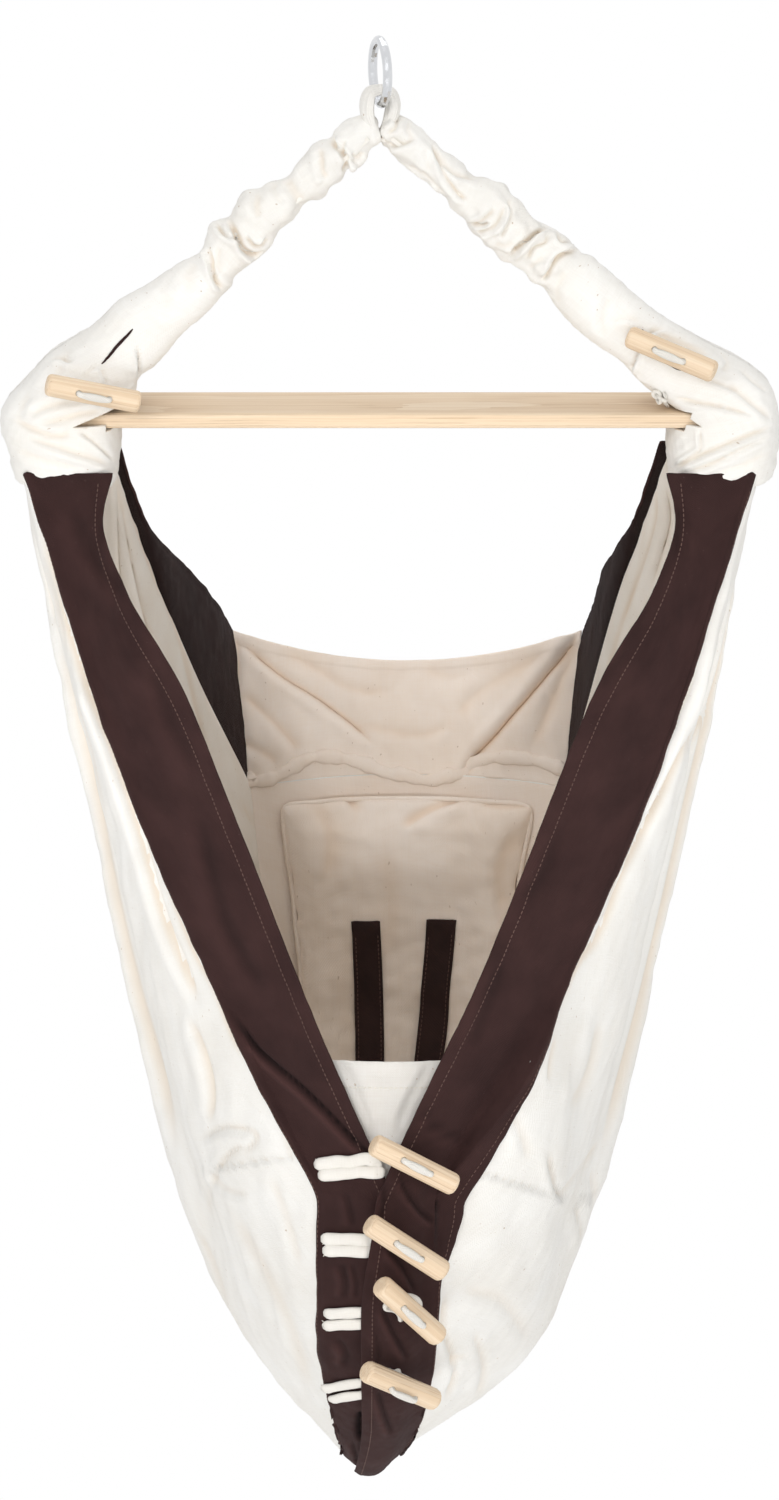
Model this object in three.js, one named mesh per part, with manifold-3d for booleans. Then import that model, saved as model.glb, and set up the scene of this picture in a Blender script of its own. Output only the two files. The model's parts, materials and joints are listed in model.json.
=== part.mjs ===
// A hanging baby cradle: a cloth bag with a toggled front closure hangs from the two ends of a
// wooden spreader bar, whose ends sit in cloth hoods. Two ruched sleeves over load straps run
// from the hoods up to a cloth loop, which passes through one steel ring.
// Units are millimetres, +Z is up, +X runs along the bar and +Y points to the head end.
// The origin is where a hook bears on the inside of the ring, at its top.
import * as THREE from "three";
import { mergeVertices } from "three/addons/utils/BufferGeometryUtils.js";
import Module from "manifold-3d";

const wasm = await Module();
wasm.setup();

const { degToRad, lerp, smoothstep } = THREE.MathUtils;

// Driving dimensions

const seatGap = 0.35; // between pieces that touch
const cutOver = 2; // how far a cutting tool runs past what it cuts

const barLength = 500;
const barDepth = 58;
const barThickness = 10;
const barEdgeRound = 3;
const barCornerRound = 10;

const ringDiameter = 46; // outside
const ringWire = 6;
const ringTurn = degToRad(14); // the ring hangs a little turned about the vertical
const ringRise = 222; // ring's centre above the bar's middle
const ringOffset = -6; // ring's centre from the bar's middle, along the bar

const loopThickness = 6.4; // of the bunched cloth on each side of the ring's wire
const loopWidth = 15;
const loopPlay = 0.7; // between the loop and the ring's wire
const neckRise = 185; // pinched neck above the bar's middle
const neckBall = 7.4; // radius of the gathered knot in the neck
const sideSwing = degToRad(12);

const sleeveRadius = 15.5;
const ruffleHeight = 4.2;
const mouthRise = 46; // middle of the sleeve's lower mouth above the bar's middle
const mouthInset = 72; // the same point in from the bar's end

const strapWidth = 20;
const strapThickness = 2.6;
const strapPlay = 0.6;

const hoodWall = 3;
const hoodRoom = 11; // inside the hood's skin, in front of the bar and behind it
const hemDrop = 32; // the hoods' hem below the bar's middle
const hemWidth = 65; // along the bar
const hemInset = 4; // outer edge of the hem in from the bar's end

const bagDrop = 694; // hem to the lowest point of the bag
const bagHalfDepth = 270; // to the front of the bar; the ribs' shares of depth are shares of it
const bagWall = 3;
const trimThickness = 2.4;
const trimCrown = 3;
const closureHalf = 36.5; // from the middle of the front closure to its seams
const closureBow = 11; // how far the closure stands forward of its seams
const closureLean = -7.5; // the closure lies a little to one side
const tipLean = -7; // and its tip a little more
const headLean = 13; // the head end lies a little to the other side
const tipHalf = 19;
const rightOverlap = 10; // the right trim past the middle of the closure
const leftOverlap = 9;
const headCorner = 130; // half the head panel's top edge
const headSag = 33; // of the head panel's top edge
const foldHeight = 5;
const leftBelly = 5; // fullness of the bag's sides beside the foot
const rightBelly = 15;

const padThickness = 13;
const padCrown = 14; // how much thicker the pad is along its middle
const padWidthShare = 0.86;
const apronWall = 2.4;
const apronBow = 9; // how far the apron's middle bellies forward

const toggleDiameter = 14.5;
const toggleLength = 62;
const toggleEndRound = 3;
const toggleHoleSpacing = 20;
const cordDiameter = 3.8;
const cordPlay = 0.35;
const cordStemDiameter = 6;

const tapeWidth = 8;
const tapeThickness = 1.8;
const tapeSpacing = 12;

const webbingWidth = 25;
const webbingThickness = 2;
const buckleWidth = 52;
const buckleLength = 48;
const buckleHeight = 13;
const buckleRound = 6;
const buckleBevel = 2;
const buttonDiameter = 22;
const buttonRise = 2.5;
const buttonDepth = 3; // of the button's foot in its recess
const buttonTravel = 2;
const tongueThickness = 3;
const tongueWidth = 18;
const tongueSlot = 0.5; // room round a tongue in the buckle

// Values that follow from the driving dimensions

const barHalf = barLength / 2;
const ringRadius = (ringDiameter - ringWire) / 2;
const wireRadius = ringWire / 2;
const ringInner = ringRadius - wireRadius;
const wireZ = ringRise - ringRadius; // middle of the ring's lowest wire
const hemZ = -hemDrop;
const hoodHalfDepth = barDepth / 2 + hoodRoom;
const hemHalfDepth = barDepth / 2 + 0.8 * hoodRoom;
const toggleRadius = toggleDiameter / 2;
const cordRadius = cordDiameter / 2;
const toggleStandoff = toggleRadius + cordDiameter + 3 * cordPlay;
const neck = new THREE.Vector3(ringOffset, 0, neckRise);

// Materials

const finishes = {
  canvas: { color: 0xf3efe6, roughness: 0.9, metalness: 0 },
  lining: { color: 0xe6d9c4, roughness: 0.92, metalness: 0 },
  twill: { color: 0x3f2a28, roughness: 0.88, metalness: 0 },
  ash: { color: 0xe6cfa8, roughness: 0.55, metalness: 0 },
  chrome: { color: 0xc9ccd0, roughness: 0.12, metalness: 1 },
  cord: { color: 0xefe8da, roughness: 0.9, metalness: 0 },
  webbing: { color: 0xe9e3d6, roughness: 0.85, metalness: 0 },
  harness: { color: 0x2f211f, roughness: 0.85, metalness: 0 },
  moulded: { color: 0x2a2625, roughness: 0.45, metalness: 0 },
};

const cradle = new THREE.Group();
cradle.position.set(-ringOffset, 0, -(ringRise + ringInner));

function addPart(name, geometry, finish) {
  const mesh = new THREE.Mesh(geometry, new THREE.MeshStandardMaterial(finishes[finish]));
  mesh.name = name;
  cradle.add(mesh);
  return mesh;
}

// Solids

function bare(geometry) {
  const kept = new THREE.BufferGeometry();
  const flat = geometry.index ? geometry.toNonIndexed() : geometry;
  kept.setAttribute("position", flat.getAttribute("position"));
  return mergeVertices(kept, seatGap / 100);
}

function solidOf(geometry) {
  const merged = bare(geometry);
  const mesh = { numProp: 3, vertProperties: merged.attributes.position.array };
  mesh.triVerts = new Uint32Array(merged.index.array);
  return new wasm.Manifold(new wasm.Mesh(mesh));
}

function geometryOf(solid) {
  const mesh = solid.getMesh();
  const geometry = new THREE.BufferGeometry();
  geometry.setAttribute("position", new THREE.BufferAttribute(mesh.vertProperties, 3));
  geometry.setIndex(new THREE.BufferAttribute(mesh.triVerts, 1));
  geometry.computeVertexNormals();
  return geometry;
}

function cut(geometry, ...tools) {
  return geometryOf(tools.reduce((rest, tool) => rest.subtract(solidOf(tool)), solidOf(geometry)));
}

function join(geometry, ...more) {
  return geometryOf(more.reduce((whole, next) => whole.add(solidOf(next)), solidOf(geometry)));
}

// A closed surface from points and triangles, turned to face outwards.
function closedGeometry(points, triangles) {
  let volume = 0;
  for (const [a, b, c] of triangles) {
    volume += points[a].dot(points[b].clone().cross(points[c]));
  }
  const faces = volume < 0 ? triangles.map(([a, b, c]) => [a, c, b]) : triangles;
  const geometry = new THREE.BufferGeometry().setFromPoints(points);
  geometry.setIndex(faces.flat());
  geometry.computeVertexNormals();
  return geometry;
}

// A solid through rings of points, closed by a fan at each end.
function loft(rings) {
  const sides = rings[0].length;
  const points = rings.flat();
  const triangles = [];
  for (let i = 0; i + 1 < rings.length; i++) {
    for (let j = 0; j < sides; j++) {
      const a = i * sides + j;
      const b = i * sides + ((j + 1) % sides);
      triangles.push([a, b, b + sides], [a, b + sides, a + sides]);
    }
  }
  [0, rings.length - 1].forEach((end) => {
    const middle = new THREE.Vector3();
    rings[end].forEach((p) => middle.add(p));
    points.push(middle.divideScalar(sides));
    const base = end * sides;
    for (let j = 0; j < sides; j++) {
      const next = base + ((j + 1) % sides);
      const fan = [base + j, next, points.length - 1];
      triangles.push(end ? fan : fan.reverse());
    }
  });
  return closedGeometry(points, triangles);
}

// A cloth panel of even thickness: outer(u, v) is its outer face, and the inner face lies
// towards the middle of the bag, so that panels that share a seam share its edge too.
function panel(outer, rowShares, columnShares, thickness, inward = bagInward) {
  const stepsU = rowShares.length - 1;
  const stepsV = columnShares.length - 1;
  const points = [];
  for (const u of rowShares) {
    for (const v of columnShares) {
      const p = outer(u, v);
      points.push(p, inward(p).multiplyScalar(thickness).add(p));
    }
  }
  const at = (i, j, face) => 2 * (i * (stepsV + 1) + j) + face;
  const triangles = [];
  const quad = (a, b, c, d) => triangles.push([a, b, c], [a, c, d]);
  for (let i = 0; i < stepsU; i++) {
    for (let j = 0; j < stepsV; j++) {
      quad(at(i, j, 0), at(i + 1, j, 0), at(i + 1, j + 1, 0), at(i, j + 1, 0));
      quad(at(i, j, 1), at(i, j + 1, 1), at(i + 1, j + 1, 1), at(i + 1, j, 1));
    }
    quad(at(i, 0, 0), at(i, 0, 1), at(i + 1, 0, 1), at(i + 1, 0, 0));
    quad(at(i, stepsV, 0), at(i + 1, stepsV, 0), at(i + 1, stepsV, 1), at(i, stepsV, 1));
  }
  for (let j = 0; j < stepsV; j++) {
    quad(at(0, j, 0), at(0, j + 1, 0), at(0, j + 1, 1), at(0, j, 1));
    quad(at(stepsU, j, 0), at(stepsU, j, 1), at(stepsU, j + 1, 1), at(stepsU, j + 1, 0));
  }
  return closedGeometry(points, triangles);
}

const evenShares = (steps) => Array.from({ length: steps + 1 }, (_, i) => i / steps);

// A closed outline in the plane of two directions: |x|^power + |y|^power = 1, scaled.
function squareRound(centre, across, along, power, sides) {
  return Array.from({ length: sides }, (_, i) => {
    const a = (2 * Math.PI * i) / sides;
    const c = Math.cos(a);
    const s = Math.sin(a);
    const x = Math.sign(c) * Math.abs(c) ** (2 / power);
    const y = Math.sign(s) * Math.abs(s) ** (2 / power);
    return centre.clone().addScaledVector(across, x).addScaledVector(along, y);
  });
}

function smoothCurve(points) {
  return new THREE.CatmullRomCurve3(points, false, "centripetal");
}

// The spreader bar

function spreaderBar() {
  const outline = new THREE.Shape();
  const x = barHalf - barEdgeRound;
  const y = barDepth / 2 - barEdgeRound;
  const r = barCornerRound;
  outline.moveTo(-x + r, -y);
  outline.lineTo(x - r, -y);
  outline.absarc(x - r, -y + r, r, -Math.PI / 2, 0);
  outline.lineTo(x, y - r);
  outline.absarc(x - r, y - r, r, 0, Math.PI / 2);
  outline.lineTo(-x + r, y);
  outline.absarc(-x + r, y - r, r, Math.PI / 2, Math.PI);
  outline.lineTo(-x, -y + r);
  outline.absarc(-x + r, -y + r, r, Math.PI, 1.5 * Math.PI);
  const board = new THREE.ExtrudeGeometry(outline, {
    depth: barThickness - 2 * barEdgeRound,
    bevelThickness: barEdgeRound,
    bevelSize: barEdgeRound,
    bevelSegments: 2,
    curveSegments: 3,
  });
  return board.translate(0, 0, barEdgeRound - barThickness / 2);
}

// The steel ring

function hangingRing() {
  const ring = new THREE.TorusGeometry(ringRadius, wireRadius, 10, 32);
  ring.rotateY(Math.PI / 2).rotateZ(ringTurn);
  return ring.translate(ringOffset, 0, ringRise);
}

// The cloth loop goes up one side of the ring's lowest wire, over it and down the other side,
// and its tunnel follows the ring's curve, so that the loop can slide round the ring.
function strapLoop() {
  const half = wireRadius + loopPlay + loopThickness / 2;
  const pinch = neckBall / 2;
  const route = smoothCurve([
    new THREE.Vector3(-pinch, 0, neckRise - wireZ + neckBall / 4),
    new THREE.Vector3(-half, 0, -wireRadius),
    new THREE.Vector3(-half, 0, wireRadius),
    new THREE.Vector3(0, 0, half - loopThickness / 8),
    new THREE.Vector3(half, 0, wireRadius),
    new THREE.Vector3(half, 0, -wireRadius),
    new THREE.Vector3(pinch, 0, neckRise - wireZ + neckBall / 4),
  ]);
  const rings = evenShares(18).map((share) => {
    const p = route.getPoint(share);
    const away = route.getTangent(share).cross(new THREE.Vector3(0, 1, 0));
    const swell = 1 + Math.cos(6 * Math.PI * share) / 12;
    const across = away.multiplyScalar((swell * loopThickness) / 2);
    const along = new THREE.Vector3(0, loopWidth / 2, 0);
    return squareRound(p, across, along, 2.6, 10);
  });
  const knot = new THREE.SphereGeometry(neckBall, 14, 9).translate(0, 0, neckRise - wireZ);
  const tunnel = new THREE.TorusGeometry(ringRadius + loopPlay - seatGap, wireRadius + loopPlay, 10, 32);
  tunnel.rotateY(Math.PI / 2).translate(0, 0, ringRadius);
  const loop = cut(join(loft(rings), knot), tunnel);
  return loop.rotateZ(ringTurn).translate(ringOffset, 0, wireZ);
}

// One side's arm: the hood over the bar's end and the sleeve above it are one tube of cloth,
// cut at the sleeve's mouth. Each station is a section with its middle, tilt and half sizes.

const mouth = { x: barHalf - mouthInset, z: mouthRise };
const hemX = barHalf - hemInset - hemWidth / 2;
const barEndBulge = 5; // the hood past the bar's end
const hoodInnerInset = 76; // inner wall of the hood in from the bar's end
const bellyX = barHalf + (barEndBulge - hoodInnerInset) / 2;
const bellyHalf = (barEndBulge + hoodInnerInset) / 2;
const mouthHalf = 19;
const mouthHalfDepth = 17;

// Stations between the hem (place 0), the hood's belly (1) and the mouth (2): the place along
// the bar, the rise, the tilt in half turns, and the two half sizes.
const hoodShares = [
  [0.7, 0.17, 0, 0.94, 1],
  [1, 0.36, 0.06, 1, 1],
  [1.3, 0.6, 0.12, 0.9, 0.93],
  [1.72, 0.84, 0.21, 0.66, 0.68],
];
const hoodPower = 3.4; // of the rounded square that the hood's sections are

function hoodStations(side, shrink) {
  const up = armRoute(side).getTangent(mouthShare);
  const mouthTilt = Math.PI / 2 - Math.atan2(up.z, Math.abs(up.x));
  const station = (x, z, tilt, half, depth, power = hoodPower) => {
    return { x, z, tilt, half: half - shrink, depth: depth - shrink, power };
  };
  const rise = mouthRise + hemDrop;
  const middles = hoodShares.map(([place, height, turn, half, depth]) => {
    const x = place < 1 ? lerp(hemX, bellyX, place) : lerp(bellyX, mouth.x, place - 1);
    return station(x, hemZ + height * rise, turn * Math.PI, half * bellyHalf, depth * hoodHalfDepth);
  });
  const hem = station(hemX, hemZ, 0, hemWidth / 2, hemHalfDepth);
  return [hem, ...middles, station(mouth.x, mouth.z, mouthTilt, mouthHalf, mouthHalfDepth, 2)];
}

function stationRing(side, station, sides) {
  const middle = new THREE.Vector3(side * station.x, 0, station.z);
  const across = new THREE.Vector3(side * Math.cos(station.tilt), 0, Math.sin(station.tilt));
  const along = new THREE.Vector3(0, station.depth, 0);
  return squareRound(middle, across.multiplyScalar(station.half), along, station.power, sides);
}

// A smooth curve through four even values, from the second to the third.
function blend(a, b, c, d, f) {
  const square = 2 * a - 5 * b + 4 * c - d;
  const cube = 3 * b - a - 3 * c + d;
  return (2 * b + (c - a) * f + square * f * f + cube * f * f * f) / 2;
}

// Smooth values between stations, for a position from 0 to 1.
function between(stations, share) {
  const place = share * (stations.length - 1);
  const i = Math.min(Math.floor(place), stations.length - 2);
  const last = stations.length - 1;
  const near = [i - 1, i, i + 1, i + 2].map((k) => stations[Math.max(0, Math.min(last, k))]);
  const keys = Object.keys(stations[0]);
  return Object.fromEntries(keys.map((key) => [key, blend(...near.map((each) => each[key]), place - i)]));
}

function hoodLoft(side, shrink, steps, sides) {
  const stations = hoodStations(side, shrink);
  const rings = evenShares(steps).map((share) => stationRing(side, between(stations, share), sides));
  if (shrink) {
    rings[0].forEach((p) => (p.z -= cutOver));
  }
  return loft(rings);
}

const slotPlay = 1; // room round the bar where it leaves the hood
const slitBackShare = 0.55; // how far back the front slit runs, of the hood's width
const hoodSteps = 11;
const hoodSides = 22;

function hood(side) {
  const shell = hoodLoft(side, 0, hoodSteps, hoodSides);
  const hollow = hoodLoft(side, hoodWall, hoodSteps - 2, hoodSides - 4);
  const way = new THREE.BoxGeometry(barHalf, barDepth + 2 * slotPlay, barThickness + 2 * slotPlay);
  way.translate((side * barHalf) / 2, 0, 0);
  const apex = barHalf - slitBackShare * hoodInnerInset;
  const slit = new THREE.Shape();
  slit.moveTo(side * apex, 0);
  slit.lineTo((side * barHalf) / 2, barThickness * 2);
  slit.lineTo((side * barHalf) / 2, -barThickness);
  const wedge = new THREE.ExtrudeGeometry(slit, { depth: hoodHalfDepth, bevelEnabled: false });
  wedge.rotateX(Math.PI / 2);
  const strapWay = strapRun(side, strapPlay, 1.2 * mouthShare);
  return cut(shell, hollow, way, wedge, strapWay);
}

// The load strap: a band round the bar's end, and a run through the sleeve up to the neck.

const strapInset = 26; // middle of the band in from the bar's end
const bendShares = [0.65, 0.5]; // of the mouth's inset and rise, where the strap bends
const strapBandZ = barThickness / 2 + seatGap + strapThickness / 2;

function armRoute(side) {
  const foot = new THREE.Vector3(side * (barHalf - strapInset), 0, strapBandZ);
  const bend = new THREE.Vector3(side * (barHalf - bendShares[0] * mouthInset), 0, bendShares[1] * mouthRise);
  const low = new THREE.Vector3(side * mouth.x, 0, mouth.z);
  const top = neck.clone().add(new THREE.Vector3(side * neckBall, 0, -neckBall / 2));
  const middle = low.clone().lerp(top, 0.5);
  middle.z -= sleeveSag;
  return smoothCurve([foot, bend, low, middle, top]);
}

const sleeveSag = 3;
const mouthShare = 0.5; // the mouth is the middle of the route's five points

// A tool for the strap's way is wider by the play and runs on past the strap's end.
function strapRun(side, play, last = 1) {
  const route = armRoute(side);
  const rings = evenShares(16).map((share) => {
    const p = route.getPoint(share * last);
    const ahead = route.getTangent(share * last);
    p.addScaledVector(ahead, play && share === 1 ? cutOver : 0);
    const across = ahead.cross(new THREE.Vector3(0, 1, 0)).multiplyScalar(strapThickness / 2 + play);
    const along = new THREE.Vector3(0, strapWidth / 2 + play, 0);
    return [
      p.clone().add(across).add(along),
      p.clone().add(across).sub(along),
      p.clone().sub(across).sub(along),
      p.clone().sub(across).add(along),
    ];
  });
  return loft(rings);
}

const neckFlare = degToRad(38);
const neckWrap = degToRad(25); // how far over its middle the knot lies in its socket

function neckSpace() {
  const clear = neckBall + seatGap;
  const wide = Math.tan(neckFlare + sideSwing);
  const top = ringRise - neckRise;
  const profile = [new THREE.Vector2(0, -clear)];
  for (const share of evenShares(6).slice(1)) {
    const a = share * (Math.PI / 2 + neckWrap);
    profile.push(new THREE.Vector2(clear * Math.sin(a), -clear * Math.cos(a)));
  }
  profile.push(new THREE.Vector2(top * wide, top));
  profile.push(new THREE.Vector2(0, top));
  const space = new THREE.LatheGeometry(profile, 28).rotateX(Math.PI / 2);
  return space.translate(neck.x, neck.y, neck.z);
}

function loadStrap(side) {
  const outer = barDepth + 2 * seatGap + 2 * strapThickness;
  const tall = barThickness + 2 * seatGap + 2 * strapThickness;
  const band = new THREE.BoxGeometry(strapWidth, outer, tall);
  const gap = new THREE.BoxGeometry(2 * strapWidth, outer - 2 * strapThickness, tall - 2 * strapThickness);
  const x = side * (barHalf - strapInset);
  const loop = cut(band.translate(x, 0, 0), gap.translate(x, 0, 0));
  return cut(join(loop, strapRun(side, 0)), neckSpace(), gap, middleCut(-side));
}

// Everything on one side of the neck's middle plane, so that the two arms meet without overlap.
function middleCut(side) {
  const size = 3 * mouthInset;
  const box = new THREE.BoxGeometry(size, size, size);
  return box.translate(neck.x + side * (size / 2 - seatGap / 2), 0, neck.z);
}

// How many ruffles each sleeve has, how far down from the neck they come, and where they start.
const ruffles = {
  "-1": { count: 6.5, downShare: 0.7, phase: degToRad(23) },
  1: { count: 5.5, downShare: 0.62, phase: degToRad(109) },
};
const sleeveSides = 14;
const sleeveSteps = 34;

// The sleeve's cloth is pushed together on the strap: its radius swells in slanting ruffles
// from the neck down to where the cloth lies smooth, and it opens out to the hood's mouth.
function sleeve(side) {
  const route = armRoute(side);
  const ruffle = ruffles[side];
  const start = hoodStations(side, 0).at(-1);
  const rings = evenShares(sleeveSteps).map((share) => {
    const p = route.getPoint(lerp(mouthShare, 1, share));
    const along = new THREE.Vector3(0, 1, 0);
    const across = route.getTangent(lerp(mouthShare, 1, share)).cross(along).normalize();
    const flare = 1 - smoothstep(share, 0, 0.25);
    const smoothShare = 1 - ruffle.downShare;
    const gathered = smoothstep(share, smoothShare, smoothShare + 0.12);
    const close = 1 - 0.25 * smoothstep(share, 0.9, 1);
    return Array.from({ length: sleeveSides }, (_, j) => {
      const a = (2 * Math.PI * j) / sleeveSides;
      const slant = 0.9 * Math.sin(a + ruffle.phase) + 0.5 * Math.cos(2 * a - share * 5);
      const wave = Math.sin(2 * Math.PI * ruffle.count * (share - 1) + slant + ruffle.phase);
      const radius = close * (sleeveRadius + gathered * ruffleHeight * wave);
      const wide = lerp(radius, start.half, flare);
      const deep = lerp(radius, start.depth, flare);
      return p.clone().addScaledVector(across, -wide * Math.cos(a)).addScaledVector(along, deep * Math.sin(a));
    });
  });
  rings[0].forEach((p) => p.addScaledVector(route.getTangent(mouthShare), seatGap));
  const bore = strapRun(side, strapPlay);
  return cut(loft(rings), bore, neckSpace(), middleCut(-side));
}

// The bag. Ribs run from the hood's hem (0) down to the seam that goes round the panel (1):
// down the front closure, round the tip and up beside the bottom panel to the head.
// Each station holds the shares of half the bar, of half the depth and of the drop.

const ribHemShares = [
  [0.944, -0.137],
  [0.96, -0.12],
  [0.972, -0.08],
  [0.98, -0.04],
  [0.984, 0],
  [0.98, 0.05],
  [0.95, 0.104],
  [0.86, 0.137],
  [0.76, 0.14],
];
const ribUpperShares = [
  [0.693, -0.437, 0.25],
  [0.752, -0.37, 0.274],
  [0.775, -0.281, 0.292],
  [0.79, -0.194, 0.313],
  [0.812, -0.11, 0.33],
  [0.828, -0.023, 0.336],
  [0.807, 0.094, 0.314],
  [0.761, 0.202, 0.259],
  [0.66, 0.28, 0.149],
];
const ribLowerShares = [
  [0.441, -0.689, 0.431],
  [0.492, -0.622, 0.553],
  [0.497, -0.526, 0.66],
  [0.492, -0.415, 0.757],
  [0.476, -0.296, 0.833],
  [0.465, -0.11, 0.85],
  [0.503, 0.165, 0.757],
  [0.539, 0.384, 0.562],
  [0.558, 0.489, 0.313],
];
// The seam's front part keeps the closure's width; the rest follows the bar.
const seamFrontShares = [
  [1, -0.941, 0.595],
  [1, -0.97, 0.674],
  [0.95, -0.941, 0.76],
  [0.8, -0.822, 0.858],
];
const seamTipShares = [-0.611, 0.953];
const seamBackShares = [
  [0.155, -0.222, 0.985],
  [0.283, 0.233, 0.88],
  [0.38, 0.54, 0.704],
  [0.47, 0.689, 0.444],
];
const tipShare = 0.5; // where the seam passes the tip, of the ribs' count

const bagPoint = (x, yShare, zShare) => new THREE.Vector3(x, yShare * bagHalfDepth, hemZ - zShare * bagDrop);

const ribCurves = [
  smoothCurve(ribHemShares.map(([x, y]) => bagPoint(x * barHalf, y, 0))),
  smoothCurve(ribUpperShares.map(([x, y, z]) => bagPoint(x * barHalf, y, z))),
  smoothCurve(ribLowerShares.map(([x, y, z]) => bagPoint(x * barHalf, y, z))),
  smoothCurve([
    ...seamFrontShares.map(([x, y, z]) => bagPoint(x * closureHalf, y, z)),
    bagPoint(tipHalf, ...seamTipShares),
    ...seamBackShares.map(([x, y, z]) => bagPoint(x * barHalf, y, z)),
  ]),
];

// The closure and the head end lie a little to one side: none of it is left at the hem.
function leaned(p) {
  const down = (hemZ - p.z) / bagDrop;
  const middle = 1 - smoothstep(Math.abs(p.x), closureHalf, barHalf / 2);
  const front = 1 - smoothstep(p.y / bagHalfDepth, -0.6, 0.2);
  const lean = closureLean * smoothstep(down, 0.3, 0.7) + tipLean * smoothstep(down, 0.85, 1);
  p.x += lean * middle * front + headLean * smoothstep(p.y / bagHalfDepth, 0.25, 0.75);
  return p;
}

// The long folds run along the ribs, and die out at the seams and the hem.
function foldAt(t, s) {
  const fade = smoothstep(t, 0, 0.12) * (1 - smoothstep(t, 0.88, 1));
  const length = smoothstep(s, 0.02, 0.3) * (1 - smoothstep(s, 0.62, 0.98));
  const waves = 0.6 * Math.sin(13 * t + 0.6) + 0.4 * Math.sin(29 * t + 2 * s);
  return foldHeight * fade * length * waves;
}

// Beside the foot the sides stand out fuller than their ribs, from the third rib to the seam.
const bellyStartShare = 0.6;

function bellyAt(side, t, s) {
  const length = 1 - smoothstep(t, 0.42, 0.62);
  const across = Math.max(0, (s - bellyStartShare) / (1 - bellyStartShare));
  const fullness = smoothstep(across, 0, 0.5) * Math.sin(Math.PI * across);
  return (side > 0 ? rightBelly : leftBelly) * length * fullness;
}

function ribPoint(t, s) {
  return smoothCurve(ribCurves.map((curve) => curve.getPoint(t))).getPoint(s);
}

function sidePoint(side, t, s) {
  const p = ribPoint(t, s);
  p.addScaledVector(bagInward(p), -foldAt(t, s) - bellyAt(side, t, s));
  p.x *= side;
  return leaned(p);
}

// The direction from a point of the bag's skin to the middle of the space inside it.
const limbShare = 0.92;
const limbEndShare = 0.6;
const coreDepthShare = 0.25;
const coreFloorShare = 0.62;

function bagInward(p) {
  const down = (hemZ - p.z) / bagDrop;
  const limb = limbShare * (1 - smoothstep(down, 0, limbEndShare));
  const floor = hemZ - coreFloorShare * bagDrop;
  return new THREE.Vector3(limb * p.x, coreDepthShare * p.y, Math.max(p.z, floor)).sub(p).normalize();
}

const seamInset = seatGap / 2;

// A share of a panel's length that leaves half the seat gap free at both of its ends.
const insetShare = (share, length) => lerp(seamInset / length, 1 - seamInset / length, share);

const ribLength = 0.75 * bagDrop;
const seamLength = 2 * bagHalfDepth + bagDrop;

// The seam's steps down the panel and round it: the pieces that share a seam share its steps.
const downSteps = 11;
const roundSteps = 30;

function sidePanel(side) {
  const outer = (u, v) => {
    const t = insetShare(u, ribLength * smoothstep(v, -0.2, 0.3));
    return sidePoint(side, t, insetShare(v, ribLength));
  };
  return panel(outer, evenShares(roundSteps), evenShares(downSteps), bagWall);
}

// The front trims: from the hem down the front seam to the closure, and on to the tip.
// Each station of the free edge holds the shares of half the bar, of half the depth and of the drop.

const frontFreeShares = [
  [0.724, -0.141, 0],
  [0.748, -0.204, 0.042],
  [0.688, -0.296, 0.095],
  [0.536, -0.43, 0.175],
  [0.4, -0.574, 0.28],
  [0.262, -0.726, 0.388],
  [0.148, -0.856, 0.467],
  [0.048, -0.955, 0.527],
];
const frontFree = smoothCurve(frontFreeShares.map(([x, y, z]) => bagPoint(x * barHalf, y, z)));
const veeShare = 0.55; // of the trim's length, from the hem to the top of the closure

function closureFace(t, x) {
  const seam = ribPoint(t, 1);
  const out = bagInward(new THREE.Vector3(0, seam.y, seam.z)).negate();
  const bow = closureBow * (1 - (x / seam.x) ** 2);
  return new THREE.Vector3(x, seam.y, seam.z).addScaledVector(out, bow);
}

// The right trim lies over the left one along the closure.
function overlapLift(side, along, across) {
  const near = smoothstep(along, veeShare - 0.25, veeShare - 0.07) * smoothstep(across, 0.05, 0.45);
  return side > 0 ? (1.2 * trimThickness + 4 * seatGap) * near : 0;
}

function frontTrimPoint(side, along, across) {
  const grown = lerp(0.2, 1, smoothstep(along, veeShare, veeShare + 0.15));
  const past = side > 0 ? rightOverlap * grown : leftOverlap;
  const closing = smoothstep(along, veeShare - 0.1, veeShare);
  const t = (tipShare * Math.max(0, along - veeShare)) / (1 - veeShare);
  const seam = ribPoint(t, Math.min(1, along / veeShare));
  const free = frontFree.getPoint(Math.min(1, along / veeShare)).lerp(closureFace(t, -past), closing);
  const p = seam.clone().lerp(free, across);
  const sagitta = closureBow * ((seam.x - free.x) / (2 * seam.x)) ** 2;
  const bulge = lerp(trimCrown, sagitta, closing) * 4 * across * (1 - across);
  const out = bagInward(new THREE.Vector3(lerp(p.x, 0, closing), p.y, p.z)).negate();
  p.addScaledVector(out, bulge + overlapLift(side, along, across));
  p.x *= side;
  return leaned(p);
}

const trimRowShares = [
  ...evenShares(downSteps).map((share) => share * veeShare),
  ...evenShares(roundSteps * tipShare).slice(1).map((share) => lerp(veeShare, 1, share)),
];

function frontTrim(side) {
  const outer = (u, v) => frontTrimPoint(side, insetShare(u, seamLength), lerp(seatGap / closureHalf, 1, v));
  return panel(outer, trimRowShares, evenShares(5), trimThickness);
}

// The rear trims: a wedge of cloth from the hem to the head panel's side.

const rearFreeShares = [
  [0.73, 0.141, 0],
  [0.667, 0.202, 0.088],
  [0.593, 0.472, 0.173],
];
const cornerShares = [0.778, 0.28];
const headCornerPoint = bagPoint(headCorner, ...cornerShares);
const rearFree = smoothCurve([
  ...rearFreeShares.map(([x, y, z]) => bagPoint(x * barHalf, y, z)),
  headCornerPoint,
]);

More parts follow.
